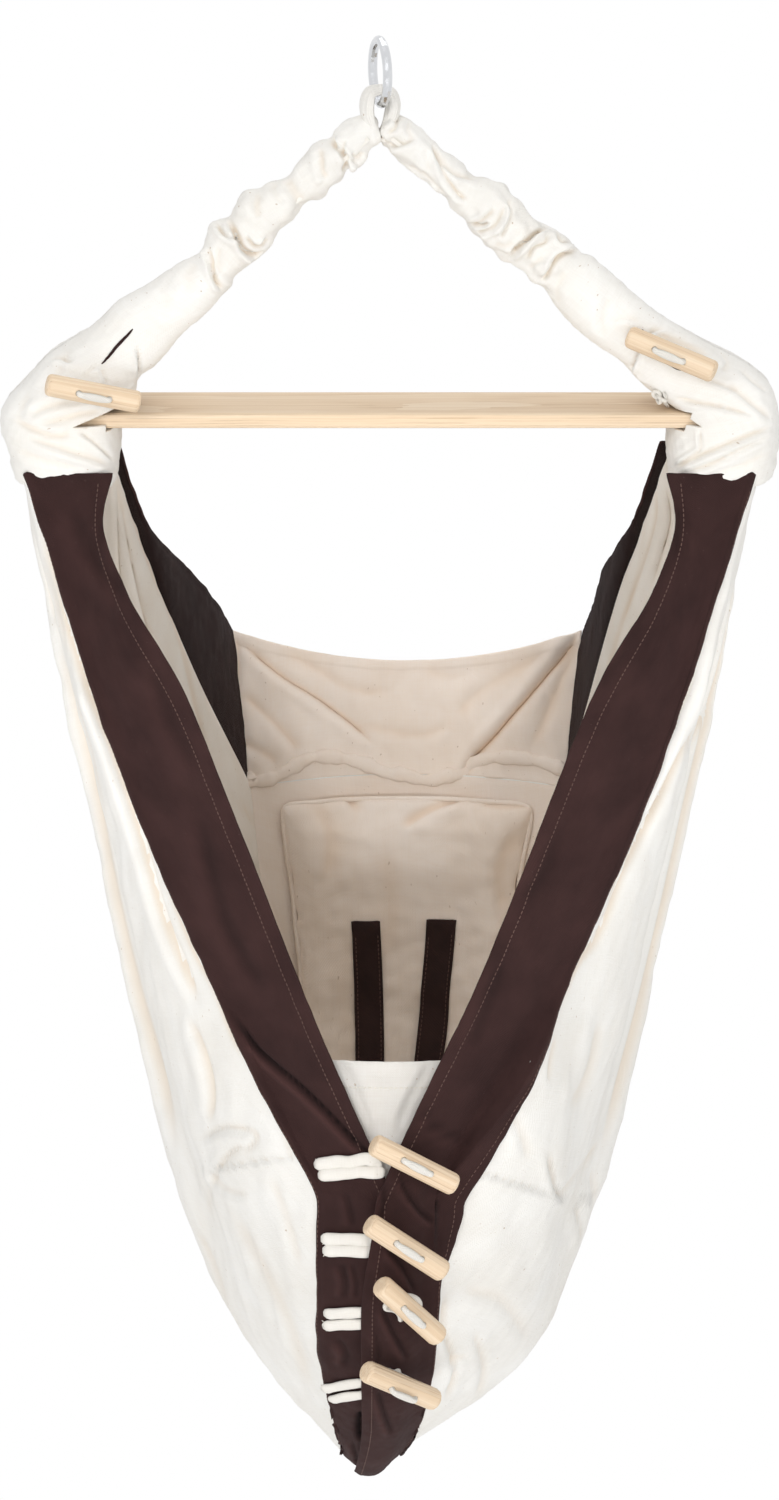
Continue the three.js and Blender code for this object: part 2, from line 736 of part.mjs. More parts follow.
function rearTrimPoint(side, along, across) {
  const p = ribPoint(1, along).lerp(rearFree.getPoint(along), across);
  p.x *= side;
  return leaned(p);
}

function rearTrim(side) {
  const outer = (u, v) => {
    const along = insetShare(u, ribLength);
    const width = lerp(hemDrop / 3, headCorner, along);
    return rearTrimPoint(side, along, lerp(seamInset / width, 1, v));
  };
  return panel(outer, evenShares(downSteps), evenShares(5), trimThickness);
}

// The bottom panel and the head panel close the bag between the two sides.

const bottomBow = 26;

function bottomPoint(t, across) {
  const seam = ribPoint(t, 1);
  const out = bagInward(new THREE.Vector3(0, seam.y, seam.z)).negate();
  const bow = lerp(closureBow, bottomBow, smoothstep(t, tipShare, tipShare + 0.3)) * (1 - across * across);
  return leaned(new THREE.Vector3(seam.x * across, seam.y, seam.z).addScaledVector(out, bow));
}

const headSteps = 10;

function bottomPanel() {
  const outer = (u, v) => {
    const t = lerp(tipShare, 1, insetShare(u, 2 * bagHalfDepth));
    return bottomPoint(t, (2 * v - 1) * (1 - seatGap / ribPoint(t, 1).x));
  };
  return panel(outer, evenShares(roundSteps * (1 - tipShare)), evenShares(headSteps), bagWall);
}

function headPoint(across, up) {
  const high = headCornerPoint.clone();
  const edge = across * across;
  high.x *= across;
  high.z -= headSag * (1 - edge);
  high.y += bottomBow * (1 - edge);
  return bottomPoint(1, across).lerp(leaned(high), up);
}

function headPanel() {
  const rise = bagDrop * (seamBackShares[3][2] - cornerShares[1]);
  const outer = (u, v) => headPoint((2 * u - 1) * (1 - seatGap / headCorner), lerp(seamInset / rise, 1, v));
  return panel(outer, evenShares(headSteps), evenShares(5), bagWall);
}

// The padded mattress lies on the bottom panel, from near the tip up to the head panel.

const padFootSteps = 2; // of the seam's steps, from the tip
const padPlay = 0.6;

function padPoint(t, along, across, height) {
  const p = bottomPoint(t, across * padWidthShare);
  const rim = Math.sqrt(1 - Math.abs(across) ** 4);
  const end = Math.sin(Math.PI * lerp(0.02, 0.98, along)) ** 0.3;
  const thick = (padThickness + padCrown * (1 - across * across)) * rim * end;
  const depth = bagWall + padPlay + height * thick;
  return p.addScaledVector(bagInward(p), depth);
}

function mattress() {
  const columns = 9;
  const steps = roundSteps * (1 - tipShare) - padFootSteps;
  const rings = evenShares(steps).map((along) => {
    const t = tipShare + (padFootSteps + along * steps - 0.5 * smoothstep(along, 0.99, 1)) / roundSteps;
    const low = evenShares(columns - 1).map((share) => padPoint(t, along, 2 * share - 1, 0));
    const high = evenShares(columns - 1).slice(1, -1).map((share) => padPoint(t, along, 1 - 2 * share, 1));
    return [...low, ...high];
  });
  return loft(rings);
}

// The apron closes the foot end inside the vee of the trims.

const apronTopShare = 0.8; // of the front seam's way down to the closure
const apronFootShare = 0.82; // of the front trim's length
const apronAcrossShare = 0.24; // of the trim's width, in from its seam

function apronPoint(across, down) {
  const along = lerp(apronTopShare * veeShare, apronFootShare, down);
  const ends = [-1, 1].map((side) => {
    const p = frontTrimPoint(side, along, apronAcrossShare);
    return p.addScaledVector(bagInward(p), trimThickness + 2 * seatGap);
  });
  const p = ends[0].lerp(ends[1], (across + 1) / 2);
  const bow = apronBow * (1 - smoothstep(down, 0, 0.5)) * (1 - across * across);
  p.y -= bow;
  return p;
}

function apron() {
  return panel((u, v) => apronPoint(2 * u - 1, v), evenShares(10), evenShares(9), apronWall);
}

// Toggles. Each is a turned dowel on a loop of cord: the cord comes up through the cloth, goes
// up through one cross hole, along the top and down through the other hole.
// In a toggle's own frame the cloth is at z = 0 and the dowel lies along x.

function toggleDowel() {
  const r = toggleEndRound;
  const half = toggleLength / 2;
  const profile = [new THREE.Vector2(0, -half)];
  for (const share of evenShares(3)) {
    const a = (share * Math.PI) / 2;
    profile.push(new THREE.Vector2(toggleRadius - r + r * Math.sin(a), -half + r - r * Math.cos(a)));
  }
  for (const share of evenShares(3)) {
    const a = (share * Math.PI) / 2;
    profile.push(new THREE.Vector2(toggleRadius - r + r * Math.cos(a), half - r + r * Math.sin(a)));
  }
  profile.push(new THREE.Vector2(0, half));
  const dowel = new THREE.LatheGeometry(profile, 14).rotateZ(Math.PI / 2);
  const holes = [-1, 1].map((side) => {
    const holeRadius = cordRadius + cordPlay;
    const hole = new THREE.CylinderGeometry(holeRadius, holeRadius, toggleDiameter + cutOver, 8);
    return hole.rotateX(Math.PI / 2).translate((side * toggleHoleSpacing) / 2, 0, 0);
  });
  return cut(dowel, ...holes).translate(0, 0, toggleStandoff);
}

// A closed tube round a closed flat route of points in the xz plane.
function closedTube(route, radius, sides) {
  const count = route.length;
  const points = [];
  route.forEach((p, i) => {
    const ahead = route[(i + 1) % count].clone().sub(route[(i + count - 1) % count]).normalize();
    const out = new THREE.Vector3(ahead.z, 0, -ahead.x);
    for (let j = 0; j < sides; j++) {
      const a = (2 * Math.PI * (j + 0.5)) / sides;
      points.push(p.clone().addScaledVector(out, radius * Math.cos(a)).setY(radius * Math.sin(a)));
    }
  });
  const triangles = [];
  for (let i = 0; i < count; i++) {
    for (let j = 0; j < sides; j++) {
      const a = i * sides + j;
      const b = i * sides + ((j + 1) % sides);
      const c = ((i + 1) % count) * sides + j;
      const d = ((i + 1) % count) * sides + ((j + 1) % sides);
      triangles.push([a, b, d], [a, d, c]);
    }
  }
  return closedGeometry(points, triangles);
}

function toggleCord() {
  const half = toggleHoleSpacing / 2;
  const rise = toggleRadius + cordPlay + cordRadius;
  const bend = 1.4 * cordRadius;
  const route = [];
  const corners = [[1, 1], [-1, 1], [-1, -1], [1, -1]];
  corners.forEach(([x, z], i) => {
    for (const share of evenShares(2)) {
      const a = ((i + share) * Math.PI) / 2;
      const middle = new THREE.Vector3(x * (half - bend), 0, toggleStandoff + z * (rise - bend));
      route.push(middle.add(new THREE.Vector3(bend * Math.cos(a), 0, bend * Math.sin(a))));
    }
  });
  const top = toggleStandoff - rise;
  const stem = new THREE.CylinderGeometry(cordStemDiameter / 2, cordStemDiameter / 2, top + cordStemDepth, 10);
  stem.rotateX(Math.PI / 2).translate(0, 0, (top - cordStemDepth) / 2);
  return join(closedTube(route, cordRadius, 8), stem);
}

const cordStemDepth = hoodWall + seatGap; // the stem goes through the cloth under it

function clothHole() {
  const radius = cordStemDiameter / 2 + cordPlay;
  const deep = 2 * (cordStemDepth + cutOver);
  return new THREE.CylinderGeometry(radius, radius, deep, 12).rotateX(Math.PI / 2);
}

// A frame on the cloth: its place, its outward direction and the way the toggle points.
function frameOn(place, out, pointing) {
  const x = pointing.clone().addScaledVector(out, -pointing.dot(out)).normalize();
  const y = out.clone().cross(x);
  return new THREE.Matrix4().makeBasis(x, y, out).setPosition(place);
}

function outwardOf(face, u, v) {
  const step = 0.01;
  const du = face(u + step, v).sub(face(u - step, v));
  const dv = face(u, v + step).sub(face(u, v - step));
  const out = du.cross(dv).normalize();
  return out.dot(bagInward(face(u, v))) > 0 ? out.negate() : out;
}

// The front toggles' places, as shares along and across the right trim, and how they point.
const frontToggles = [
  { alongShare: 0.508, acrossShare: 0.8, turn: degToRad(30) },
  { alongShare: 0.6, acrossShare: 0.536, turn: degToRad(37) },
  { alongShare: 0.679, acrossShare: 0.43, turn: degToRad(48) },
  { alongShare: 0.779, acrossShare: 0.503, turn: degToRad(40) },
];

function frontToggleFrame({ alongShare, acrossShare, turn }) {
  const face = (u, v) => frontTrimPoint(1, u, v);
  const place = face(alongShare, acrossShare);
  const pointing = new THREE.Vector3(Math.cos(turn), 0, -Math.sin(turn));
  return frameOn(place, outwardOf(face, alongShare, acrossShare), pointing);
}

// The hoods' toggles, as places from the bar's end and above its middle, and how they point.
const hoodToggles = {
  left: { side: -1, inset: 57, rise: 24, turn: degToRad(14) },
  right: { side: 1, inset: 64, rise: 45, turn: degToRad(19) },
};

const hoodToggleLift = 1.2; // the cloth is not flat under the cord

// The dowel rests on the cloth at both of its ends.
function hoodToggleFrame({ side, inset, rise, turn }, shells) {
  const pointing = new THREE.Vector3(Math.cos(turn), 0, -Math.sin(turn));
  const meshes = shells.map((shell) => new THREE.Mesh(shell));
  const hitShares = [-0.25, 0, 0.25];
  const [start, middle, end] = hitShares.map((share) => {
    const from = new THREE.Vector3(side * (barHalf - inset), -2 * hoodHalfDepth, rise);
    from.addScaledVector(pointing, share * toggleLength);
    return new THREE.Raycaster(from, new THREE.Vector3(0, 1, 0)).intersectObjects(meshes)[0].point;
  });
  const x = end.sub(start).normalize();
  const out = new THREE.Vector3(0, -1, 0);
  out.addScaledVector(x, -out.dot(x)).normalize();
  return frameOn(middle.addScaledVector(out, hoodToggleLift), out, x);
}

function addToggle(word, frame) {
  const place = new THREE.Group();
  place.applyMatrix4(frame);
  cradle.add(place);
  place.add(addPart("toggle_" + word, toggleDowel(), "ash"));
  place.add(addPart("toggle_cord_" + word, toggleCord(), "cord"));
}

// The tape anchors: each is one tape sewn down by its two ends on the left trim, and its bend
// goes under the right trim's edge.

let trimLength = 0;
for (let i = 1; i <= 40; i++) {
  trimLength += frontTrimPoint(-1, i / 40, 0).distanceTo(frontTrimPoint(-1, (i - 1) / 40, 0));
}

const tapeAlongShares = [0.53, 0.609, 0.708, 0.815];
const tapeEndShare = 0.03; // across the left trim, where the tape's ends are

function tapeAnchor(alongShare) {
  const lift = tapeThickness + 2 * seatGap;
  const whole = tapeSpacing + tapeWidth;
  const [seam, free] = [0, 1].map((share) => frontTrimPoint(-1, alongShare, share));
  const edge = frontTrimPoint(1, alongShare, 1).x - 2 * trimThickness;
  const reach = (edge - seam.x) / (free.x - seam.x);
  const at = (u, v) => {
    const along = alongShare + ((u - 0.5) * whole) / trimLength;
    const p = frontTrimPoint(-1, along, lerp(tapeEndShare, reach, v));
    return p.addScaledVector(bagInward(p), -lift);
  };
  const tape = panel(at, evenShares(3), evenShares(6), tapeThickness);
  const pointing = at(0.5, 1).sub(at(0.5, 0));
  const length = pointing.length();
  const slot = new THREE.BoxGeometry(length, tapeSpacing - tapeWidth, 8 * tapeThickness);
  slot.translate(-tapeWidth, 0, 0).applyMatrix4(frameOn(at(0.5, 0.5), outwardOf(at, 0.5, 0.5), pointing));
  return cut(tape, slot);
}

// The harness lies on the mattress: two shoulder straps and a crotch strap in one buckle.

const webbingLift = webbingThickness + 2 * seatGap;
const buckleStep = 5; // where the buckle is, in the seam's steps from the tip
const strapSteps = 7; // along a shoulder strap

function padTop(step, x) {
  const steps = roundSteps * (1 - tipShare) - padFootSteps;
  const t = tipShare + step / roundSteps;
  const half = ribPoint(t, 1).x * padWidthShare;
  return padPoint(t, (step - padFootSteps) / steps, x / half, 1);
}

function webbing(firstStep, lastStep, firstX, lastX, steps) {
  const stretch = (u, v) => {
    const x = lerp(firstX, lastX, u) + (v - 0.5) * webbingWidth;
    const p = padTop(lerp(firstStep, lastStep, u), x);
    return p.addScaledVector(bagInward(p), webbingLift);
  };
  const outward = (p) => bagInward(p).negate();
  return panel(stretch, evenShares(steps), evenShares(2), webbingThickness, outward);
}

function roundedPlate(width, length, height, round, bevel) {
  const x = width / 2 - bevel;
  const y = length / 2 - bevel;
  const outline = new THREE.Shape();
  outline.moveTo(-x + round, -y);
  outline.absarc(x - round, -y + round, round, -Math.PI / 2, 0);
  outline.absarc(x - round, y - round, round, 0, Math.PI / 2);
  outline.absarc(-x + round, y - round, round, Math.PI / 2, Math.PI);
  outline.absarc(-x + round, -y + round, round, Math.PI, 1.5 * Math.PI);
  const plate = new THREE.ExtrudeGeometry(outline, {
    depth: height - 2 * bevel,
    bevelThickness: bevel,
    bevelSize: bevel,
    bevelSegments: 2,
    curveSegments: 4,
  });
  return plate.translate(0, 0, bevel);
}

const buckleLift = 2.8; // the pad is hollow under the buckle
const recessDepth = buttonDepth + buttonTravel + seatGap;
const tongueReach = buckleLength / 4; // of a tongue inside the buckle
const tongueOut = 10;
const buttonPlaceY = -buckleLength / 8;
const tongueX = webbingWidth / 2 + 2 * seatGap;

function buckleFrame() {
  const out = outwardOf((u, v) => padTop(u, v * buckleWidth), buckleStep, 0).negate();
  const place = padTop(buckleStep, 0).addScaledVector(out, buckleLift);
  return frameOn(place, out, new THREE.Vector3(1, 0, 0));
}

function tongue(x, grow) {
  const length = tongueReach + (grow ? cutOver : tongueOut);
  const width = tongueWidth + 2 * grow;
  const plate = new THREE.BoxGeometry(width, length + 2 * grow, tongueThickness + 2 * grow);
  const y = buckleLength / 2 - tongueReach + length / 2;
  return plate.translate(x, y, buckleHeight / 2);
}

// A disc on the buckle's face, between two heights over it.
function standingDisc(radius, low, high) {
  const disc = new THREE.CylinderGeometry(radius, radius, high - low, 24).rotateX(Math.PI / 2);
  return disc.translate(0, buttonPlaceY, buckleHeight + (low + high) / 2);
}

function addHarness() {
  const strapStep = buckleStep + 1;
  const headStep = strapStep + strapSteps;
  const spread = 1.4 * webbingWidth;
  addPart("shoulder_strap_left", webbing(strapStep, headStep, -tongueX, -spread, strapSteps), "harness");
  addPart("shoulder_strap_right", webbing(strapStep, headStep, tongueX, spread, strapSteps), "harness");
  addPart("crotch_strap", webbing(padFootSteps + 1, buckleStep - 1, 0, 0, 1), "harness");
  const place = new THREE.Group();
  place.applyMatrix4(buckleFrame());
  cradle.add(place);
  const ways = [-tongueX, tongueX].map((x) => tongue(x, tongueSlot));
  const body = roundedPlate(buckleWidth, buckleLength, buckleHeight, buckleRound, buckleBevel);
  const recess = standingDisc(buttonDiameter / 2 + seatGap, -recessDepth, cutOver);
  const button = standingDisc(buttonDiameter / 2, -buttonDepth, buttonRise);
  place.add(addPart("buckle_body", cut(body, recess, ...ways), "moulded"));
  place.add(addPart("buckle_button", button, "moulded"));
  place.add(addPart("buckle_tongue_left", tongue(-tongueX, 0), "chrome"));
  place.add(addPart("buckle_tongue_right", tongue(tongueX, 0), "chrome"));
}

addPart("spreader_bar", spreaderBar(), "ash");
addPart("hanging_ring", hangingRing(), "chrome");
addPart("strap_loop", strapLoop(), "canvas");

const frontFrames = frontToggles.map(frontToggleFrame);
const closureHoles = frontFrames.map((frame) => clothHole().applyMatrix4(frame));

for (const [word, side] of [["left", -1], ["right", 1]]) {
  const shells = [hood(side), sleeve(side)];
  const frame = hoodToggleFrame(hoodToggles[word], shells);
  const hole = clothHole().applyMatrix4(frame);
  addPart("hood_" + word, cut(shells[0], hole), "canvas");
  addPart("sleeve_" + word, shells[1], "canvas");
  addPart("load_strap_" + word, loadStrap(side), "webbing");
  addPart("side_panel_" + word, sidePanel(side), "canvas");
  addPart("front_trim_" + word, side > 0 ? cut(frontTrim(side), ...closureHoles) : frontTrim(side), "twill");
  addPart("rear_trim_" + word, rearTrim(side), "twill");
  addToggle("hood_" + word, frame);
}

addPart("bottom_panel", bottomPanel(), "canvas");
addPart("head_panel", headPanel(), "lining");
addPart("mattress", mattress(), "lining");
addPart("foot_apron", apron(), "lining");
frontFrames.forEach((frame, i) => addToggle(String(i + 1), frame));
tapeAlongShares.forEach((share, i) => addPart("tape_anchor_" + (i + 1), tapeAnchor(share), "webbing"));
addHarness();

export default cradle;
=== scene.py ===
import json
import math

import bmesh
import bpy
import numpy as np
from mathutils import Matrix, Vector
from mathutils.bvhtree import BVHTree


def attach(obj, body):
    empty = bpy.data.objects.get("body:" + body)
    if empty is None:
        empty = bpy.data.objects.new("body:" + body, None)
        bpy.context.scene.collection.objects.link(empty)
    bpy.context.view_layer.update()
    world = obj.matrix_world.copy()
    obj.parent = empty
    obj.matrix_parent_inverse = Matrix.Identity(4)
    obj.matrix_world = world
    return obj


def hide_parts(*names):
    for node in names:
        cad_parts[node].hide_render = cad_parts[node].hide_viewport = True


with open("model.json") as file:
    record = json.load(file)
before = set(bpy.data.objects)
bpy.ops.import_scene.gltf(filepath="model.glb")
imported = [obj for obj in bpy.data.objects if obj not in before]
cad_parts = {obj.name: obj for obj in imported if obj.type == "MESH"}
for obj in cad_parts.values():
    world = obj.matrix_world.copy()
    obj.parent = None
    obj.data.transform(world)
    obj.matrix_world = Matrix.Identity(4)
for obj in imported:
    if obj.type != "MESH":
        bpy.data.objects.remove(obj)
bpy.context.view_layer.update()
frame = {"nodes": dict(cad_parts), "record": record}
record = frame["record"]
pi = math.pi

# Sizes as in part.mjs, in millimetres, in the frame of the bar: its middle is the origin.
RING_OFFSET, RING_RISE, RING_INNER = -6, 222, 17
SHIFT = np.array([-RING_OFFSET, 0, -(RING_RISE + RING_INNER)], float)
BAR_HALF = 250
HEM_Z, BAG_DROP, BAG_DEPTH = -32, 694, 270
CLOSURE_HALF, CLOSURE_BOW, CLOSURE_LEAN = 36.5, 11, -7.5
TIP_LEAN, HEAD_LEAN = -7, 13
TIP_HALF, RIGHT_OVERLAP, LEFT_OVERLAP = 19, 10, 9
HEAD_CORNER, HEAD_SAG, BOTTOM_BOW = 130, 33, 26
FOLD_HEIGHT, BAG_WALL, TRIM_THICK, TRIM_CROWN = 5, 3, 2.4, 3
PAD_THICK, PAD_CROWN, PAD_WIDTH = 13, 14, 0.86
VEE, TIP = 0.55, 0.5
LEFT_BELLY, RIGHT_BELLY, BELLY_START = 5, 15, 0.6
CLOTH_THICK = 0.002  # metres, as all that new_object gets


def row(p):
    """Points of the bar's frame, in millimetres, as metres in the shared frame."""
    return (np.asarray(p, float) + SHIFT) / 1000


# Shape functions, on arrays

def round_angles(count):
    return np.linspace(0, 2 * pi, count, endpoint=False)


def lerp(a, b, t):
    return a + (b - a) * t


def smoothstep(x, low, high):
    t = np.clip((np.asarray(x, float) - low) / (high - low), 0, 1)
    return t * t * (3 - 2 * t)


def unit(v):
    return v / np.maximum(np.linalg.norm(v, axis=-1, keepdims=True), 1e-9)


def matched(*values):
    """Arrays of one shape from numbers or arrays."""
    return np.broadcast_arrays(*(np.asarray(v, float) for v in values))


def spline(points, t):
    """A centripetal Catmull-Rom curve through points, at positions t from 0 to 1."""
    p = np.asarray(points, float)
    t = np.asarray(t, float)
    if p.ndim == 2:
        p = np.broadcast_to(p, t.shape + p.shape)
    n = p.shape[-2]
    place = np.clip(t, 0, 1) * (n - 1)
    i = np.minimum(np.floor(place).astype(int), n - 2)
    w = (place - i)[..., None]
    before = 2 * p[..., :1, :] - p[..., 1:2, :]
    after = 2 * p[..., -1:, :] - p[..., -2:-1, :]
    ext = np.concatenate([before, p, after], axis=-2)
    take = lambda k: np.take_along_axis(ext, (i + k)[..., None, None], axis=-2)[..., 0, :]
    p0, p1, p2, p3 = (take(k) for k in range(4))
    gap = lambda a, b: np.maximum(np.sum((a - b) ** 2, -1, keepdims=True) ** 0.25, 1e-4)
    d0, d1, d2 = gap(p0, p1), gap(p1, p2), gap(p2, p3)
    t1 = ((p1 - p0) / d0 - (p2 - p0) / (d0 + d1) + (p2 - p1) / d1) * d1
    t2 = ((p2 - p1) / d1 - (p3 - p1) / (d1 + d2) + (p3 - p2) / d2) * d1
    c2 = -3 * p1 + 3 * p2 - 2 * t1 - t2
    c3 = 2 * p1 - 2 * p2 + t1 + t2
    return p1 + t1 * w + c2 * w * w + c3 * w ** 3


def bag_point(x, y, z):
    return (x, y * BAG_DEPTH, HEM_Z - z * BAG_DROP)


# The bag's ribs: x as a share of the bar's half, y of the bag's depth, z of its drop
HEM = [(0.944, -0.137), (0.96, -0.12), (0.972, -0.08), (0.98, -0.04), (0.984, 0),
       (0.98, 0.05), (0.95, 0.104), (0.86, 0.137), (0.76, 0.14)]
UPPER = [(0.693, -0.437, 0.25), (0.752, -0.37, 0.274), (0.775, -0.281, 0.292), (0.79, -0.194, 0.313),
         (0.812, -0.11, 0.33), (0.828, -0.023, 0.336), (0.807, 0.094, 0.314), (0.761, 0.202, 0.259),
         (0.66, 0.28, 0.149)]
LOWER = [(0.441, -0.689, 0.431), (0.492, -0.622, 0.553), (0.497, -0.526, 0.66), (0.492, -0.415, 0.757),
         (0.476, -0.296, 0.833), (0.465, -0.11, 0.85), (0.503, 0.165, 0.757), (0.539, 0.384, 0.562),
         (0.558, 0.489, 0.313)]
SEAM_FRONT = [(1, -0.941, 0.595), (1, -0.97, 0.674), (0.95, -0.941, 0.76), (0.8, -0.822, 0.858)]
SEAM_BACK = [(0.155, -0.222, 0.985), (0.283, 0.233, 0.88), (0.38, 0.54, 0.704), (0.47, 0.689, 0.444)]
RIBS = [
    [bag_point(x * BAR_HALF, y, 0) for x, y in HEM],
    [bag_point(x * BAR_HALF, y, z) for x, y, z in UPPER],
    [bag_point(x * BAR_HALF, y, z) for x, y, z in LOWER],
    [bag_point(x * CLOSURE_HALF, y, z) for x, y, z in SEAM_FRONT]
    + [bag_point(TIP_HALF, -0.611, 0.953)]
    + [bag_point(x * BAR_HALF, y, z) for x, y, z in SEAM_BACK],
]
FRONT_FREE = [bag_point(x * BAR_HALF, y, z) for x, y, z in (
    (0.724, -0.141, 0), (0.748, -0.204, 0.042), (0.688, -0.296, 0.095), (0.536, -0.43, 0.175),
    (0.4, -0.574, 0.28), (0.262, -0.726, 0.388), (0.148, -0.856, 0.467), (0.048, -0.955, 0.527))]
CORNER = bag_point(HEAD_CORNER, 0.778, 0.28)
REAR_FREE = [bag_point(x * BAR_HALF, y, z) for x, y, z in (
    (0.73, 0.141, 0), (0.667, 0.202, 0.088), (0.593, 0.472, 0.173))] + [CORNER]


def inward(p):
    down = (HEM_Z - p[..., 2]) / BAG_DROP
    limb = 0.92 * (1 - smoothstep(down, 0, 0.6))
    floor = HEM_Z - 0.62 * BAG_DROP
    q = np.stack([limb * p[..., 0], 0.25 * p[..., 1], np.maximum(p[..., 2], floor)], -1)
    return unit(q - p)


def leaned(p):
    down = (HEM_Z - p[..., 2]) / BAG_DROP
    middle = 1 - smoothstep(np.abs(p[..., 0]), CLOSURE_HALF, BAR_HALF / 2)
    front = 1 - smoothstep(p[..., 1] / BAG_DEPTH, -0.6, 0.2)
    p = p.copy()
    toward_tip = CLOSURE_LEAN * smoothstep(down, 0.3, 0.7) + TIP_LEAN * smoothstep(down, 0.85, 1)
    p[..., 0] += toward_tip * middle * front + HEAD_LEAN * smoothstep(p[..., 1] / BAG_DEPTH, 0.25, 0.75)
    return p


def rib_point(t, s):
    t, s = matched(t, s)
    return spline(np.stack([spline(c, t) for c in RIBS], axis=-2), s)


def fold_at(t, s):
    fade = smoothstep(t, 0, 0.12) * (1 - smoothstep(t, 0.88, 1))
    length = smoothstep(s, 0.02, 0.3) * (1 - smoothstep(s, 0.62, 0.98))
    return FOLD_HEIGHT * fade * length * (0.6 * np.sin(13 * t + 0.6) + 0.4 * np.sin(29 * t + 2 * s))


def belly_at(side, t, s):
    length = 1 - smoothstep(t, 0.42, 0.62)
    across = np.clip((s - BELLY_START) / (1 - BELLY_START), 0, 1)
    full = smoothstep(across, 0, 0.5) * np.sin(pi * across)
    return (RIGHT_BELLY if side > 0 else LEFT_BELLY) * length * full


def side_point(side, t, s, extra=0.0):
    p = rib_point(t, s)
    p = p - inward(p) * (fold_at(t, s) + belly_at(side, t, s) + extra)[..., None]
    p[..., 0] *= side
    return leaned(p)


def closure_face(t, x):
    seam = rib_point(t, 1.0)
    mid = seam.copy()
    mid[..., 0] = 0
    out = -inward(mid)
    bow = CLOSURE_BOW * (1 - (x / seam[..., 0]) ** 2)
    p = np.stack([np.broadcast_to(x, seam[..., 0].shape), seam[..., 1], seam[..., 2]], -1)
    return p + out * bow[..., None]


def front_trim_point(side, along, across):
    along, across = matched(along, across)
    grown = 0.2 + 0.8 * smoothstep(along, VEE, VEE + 0.15)
    past = (RIGHT_OVERLAP if side > 0 else LEFT_OVERLAP) * (grown if side > 0 else 1 + 0 * along)
    closing = smoothstep(along, VEE - 0.1, VEE)
    t = TIP * np.maximum(0, along - VEE) / (1 - VEE)
    down = np.minimum(1, along / VEE)
    seam = rib_point(t, down)
    free = lerp(spline(FRONT_FREE, down), closure_face(t, -past), closing[..., None])
    p = lerp(seam, free, across[..., None])
    sagitta = CLOSURE_BOW * ((seam[..., 0] - free[..., 0]) / (2 * seam[..., 0])) ** 2
    bulge = lerp(TRIM_CROWN, sagitta, closing) * 4 * across * (1 - across)
    near = smoothstep(along, VEE - 0.25, VEE - 0.07) * smoothstep(across, 0.05, 0.45)
    lift = (1.2 * TRIM_THICK + 1.4) * near if side > 0 else 0 * near
    core = np.stack([lerp(p[..., 0], 0, closing), p[..., 1], p[..., 2]], -1)
    p = p - inward(core) * (bulge + lift)[..., None]
    p[..., 0] *= side
    return leaned(p)


def rear_trim_point(side, along, across):
    along, across = matched(along, across)
    p = lerp(rib_point(1.0, along), spline(REAR_FREE, along), across[..., None])
    p[..., 0] *= side
    return leaned(p)


def bottom_point(t, across):
    t, across = matched(t, across)
    seam = rib_point(t, 1.0)
    mid = seam.copy()
    mid[..., 0] = 0
    bow = lerp(CLOSURE_BOW, BOTTOM_BOW, smoothstep(t, TIP, TIP + 0.3)) * (1 - across ** 2)
    p = np.stack([seam[..., 0] * across, seam[..., 1], seam[..., 2]], -1)
    return leaned(p - inward(mid) * bow[..., None])


def head_point(across, up):
    across, up = matched(across, up)
    edge = across ** 2
    high = np.stack([
        CORNER[0] * across,
        CORNER[1] + BOTTOM_BOW * (1 - edge),
        CORNER[2] - HEAD_SAG * (1 - edge)], -1)
    return lerp(bottom_point(np.ones_like(across), across), leaned(high), up[..., None])


def pad_point(t, along, across, height):
    t, along, across, height = matched(t, along, across, height)
    p = bottom_point(t, across * PAD_WIDTH)
    rim = np.sqrt(np.maximum(0, 1 - across ** 4))
    end = np.sin(pi * lerp(0.02, 0.98, along)) ** 0.3
    thick = (PAD_THICK + PAD_CROWN * (1 - across ** 2)) * rim * end
    return p + inward(p) * (BAG_WALL + 0.6 + height * thick)[..., None]


# The picture's own camera, to lay folds where the photograph has them

EYE = np.array([6.0, -2220.1, 373.2])
TILT, FOCAL, MIDDLE = math.radians(21), 3478, (389.5, 750)
AHEAD = np.array([0, math.cos(TILT), -math.sin(TILT)])
ABOVE = np.array([0, math.sin(TILT), math.cos(TILT)])
BEHIND = (1, -1, 1)


def seen(p):
    """Where points of the bar's frame fall in the picture, in pixels."""
    q = p + SHIFT - EYE
    far = q @ AHEAD
    return np.stack([MIDDLE[0] + FOCAL * q[..., 0] / far, MIDDLE[1] - FOCAL * (q @ ABOVE) / far], -1)


def beside(at, line):
    """Distance from picture points to a line of points, which side they are on, and how far along."""
    line = spline(line, np.linspace(0, 1, 6 * len(line)))
    best = np.full(at.shape[:-1], 1e9)
    side = np.zeros(at.shape[:-1])
    along = np.zeros(at.shape[:-1])
    for k in range(len(line) - 1):
        a, run = line[k], line[k + 1] - line[k]
        length = max(float(run @ run), 1e-9)
        f = np.clip(((at - a) @ run) / length, 0, 1)
        gap = at - a - f[..., None] * run
        far = np.linalg.norm(gap, axis=-1)
        turn = run[0] * gap[..., 1] - run[1] * gap[..., 0]
        closer = far < best
        best = np.where(closer, far, best)
        side = np.where(closer, np.sign(turn), side)
        along = np.where(closer, (k + f) / (len(line) - 1), along)
    return best, side, along


def resized(folds, depth, width, lip=None):
    """Folds with their depth, width and lip multiplied; the lip as the depth where it isn't given."""
    return [(line, depth * d, width * w, (lip or depth) * high) for line, d, w, high in folds]


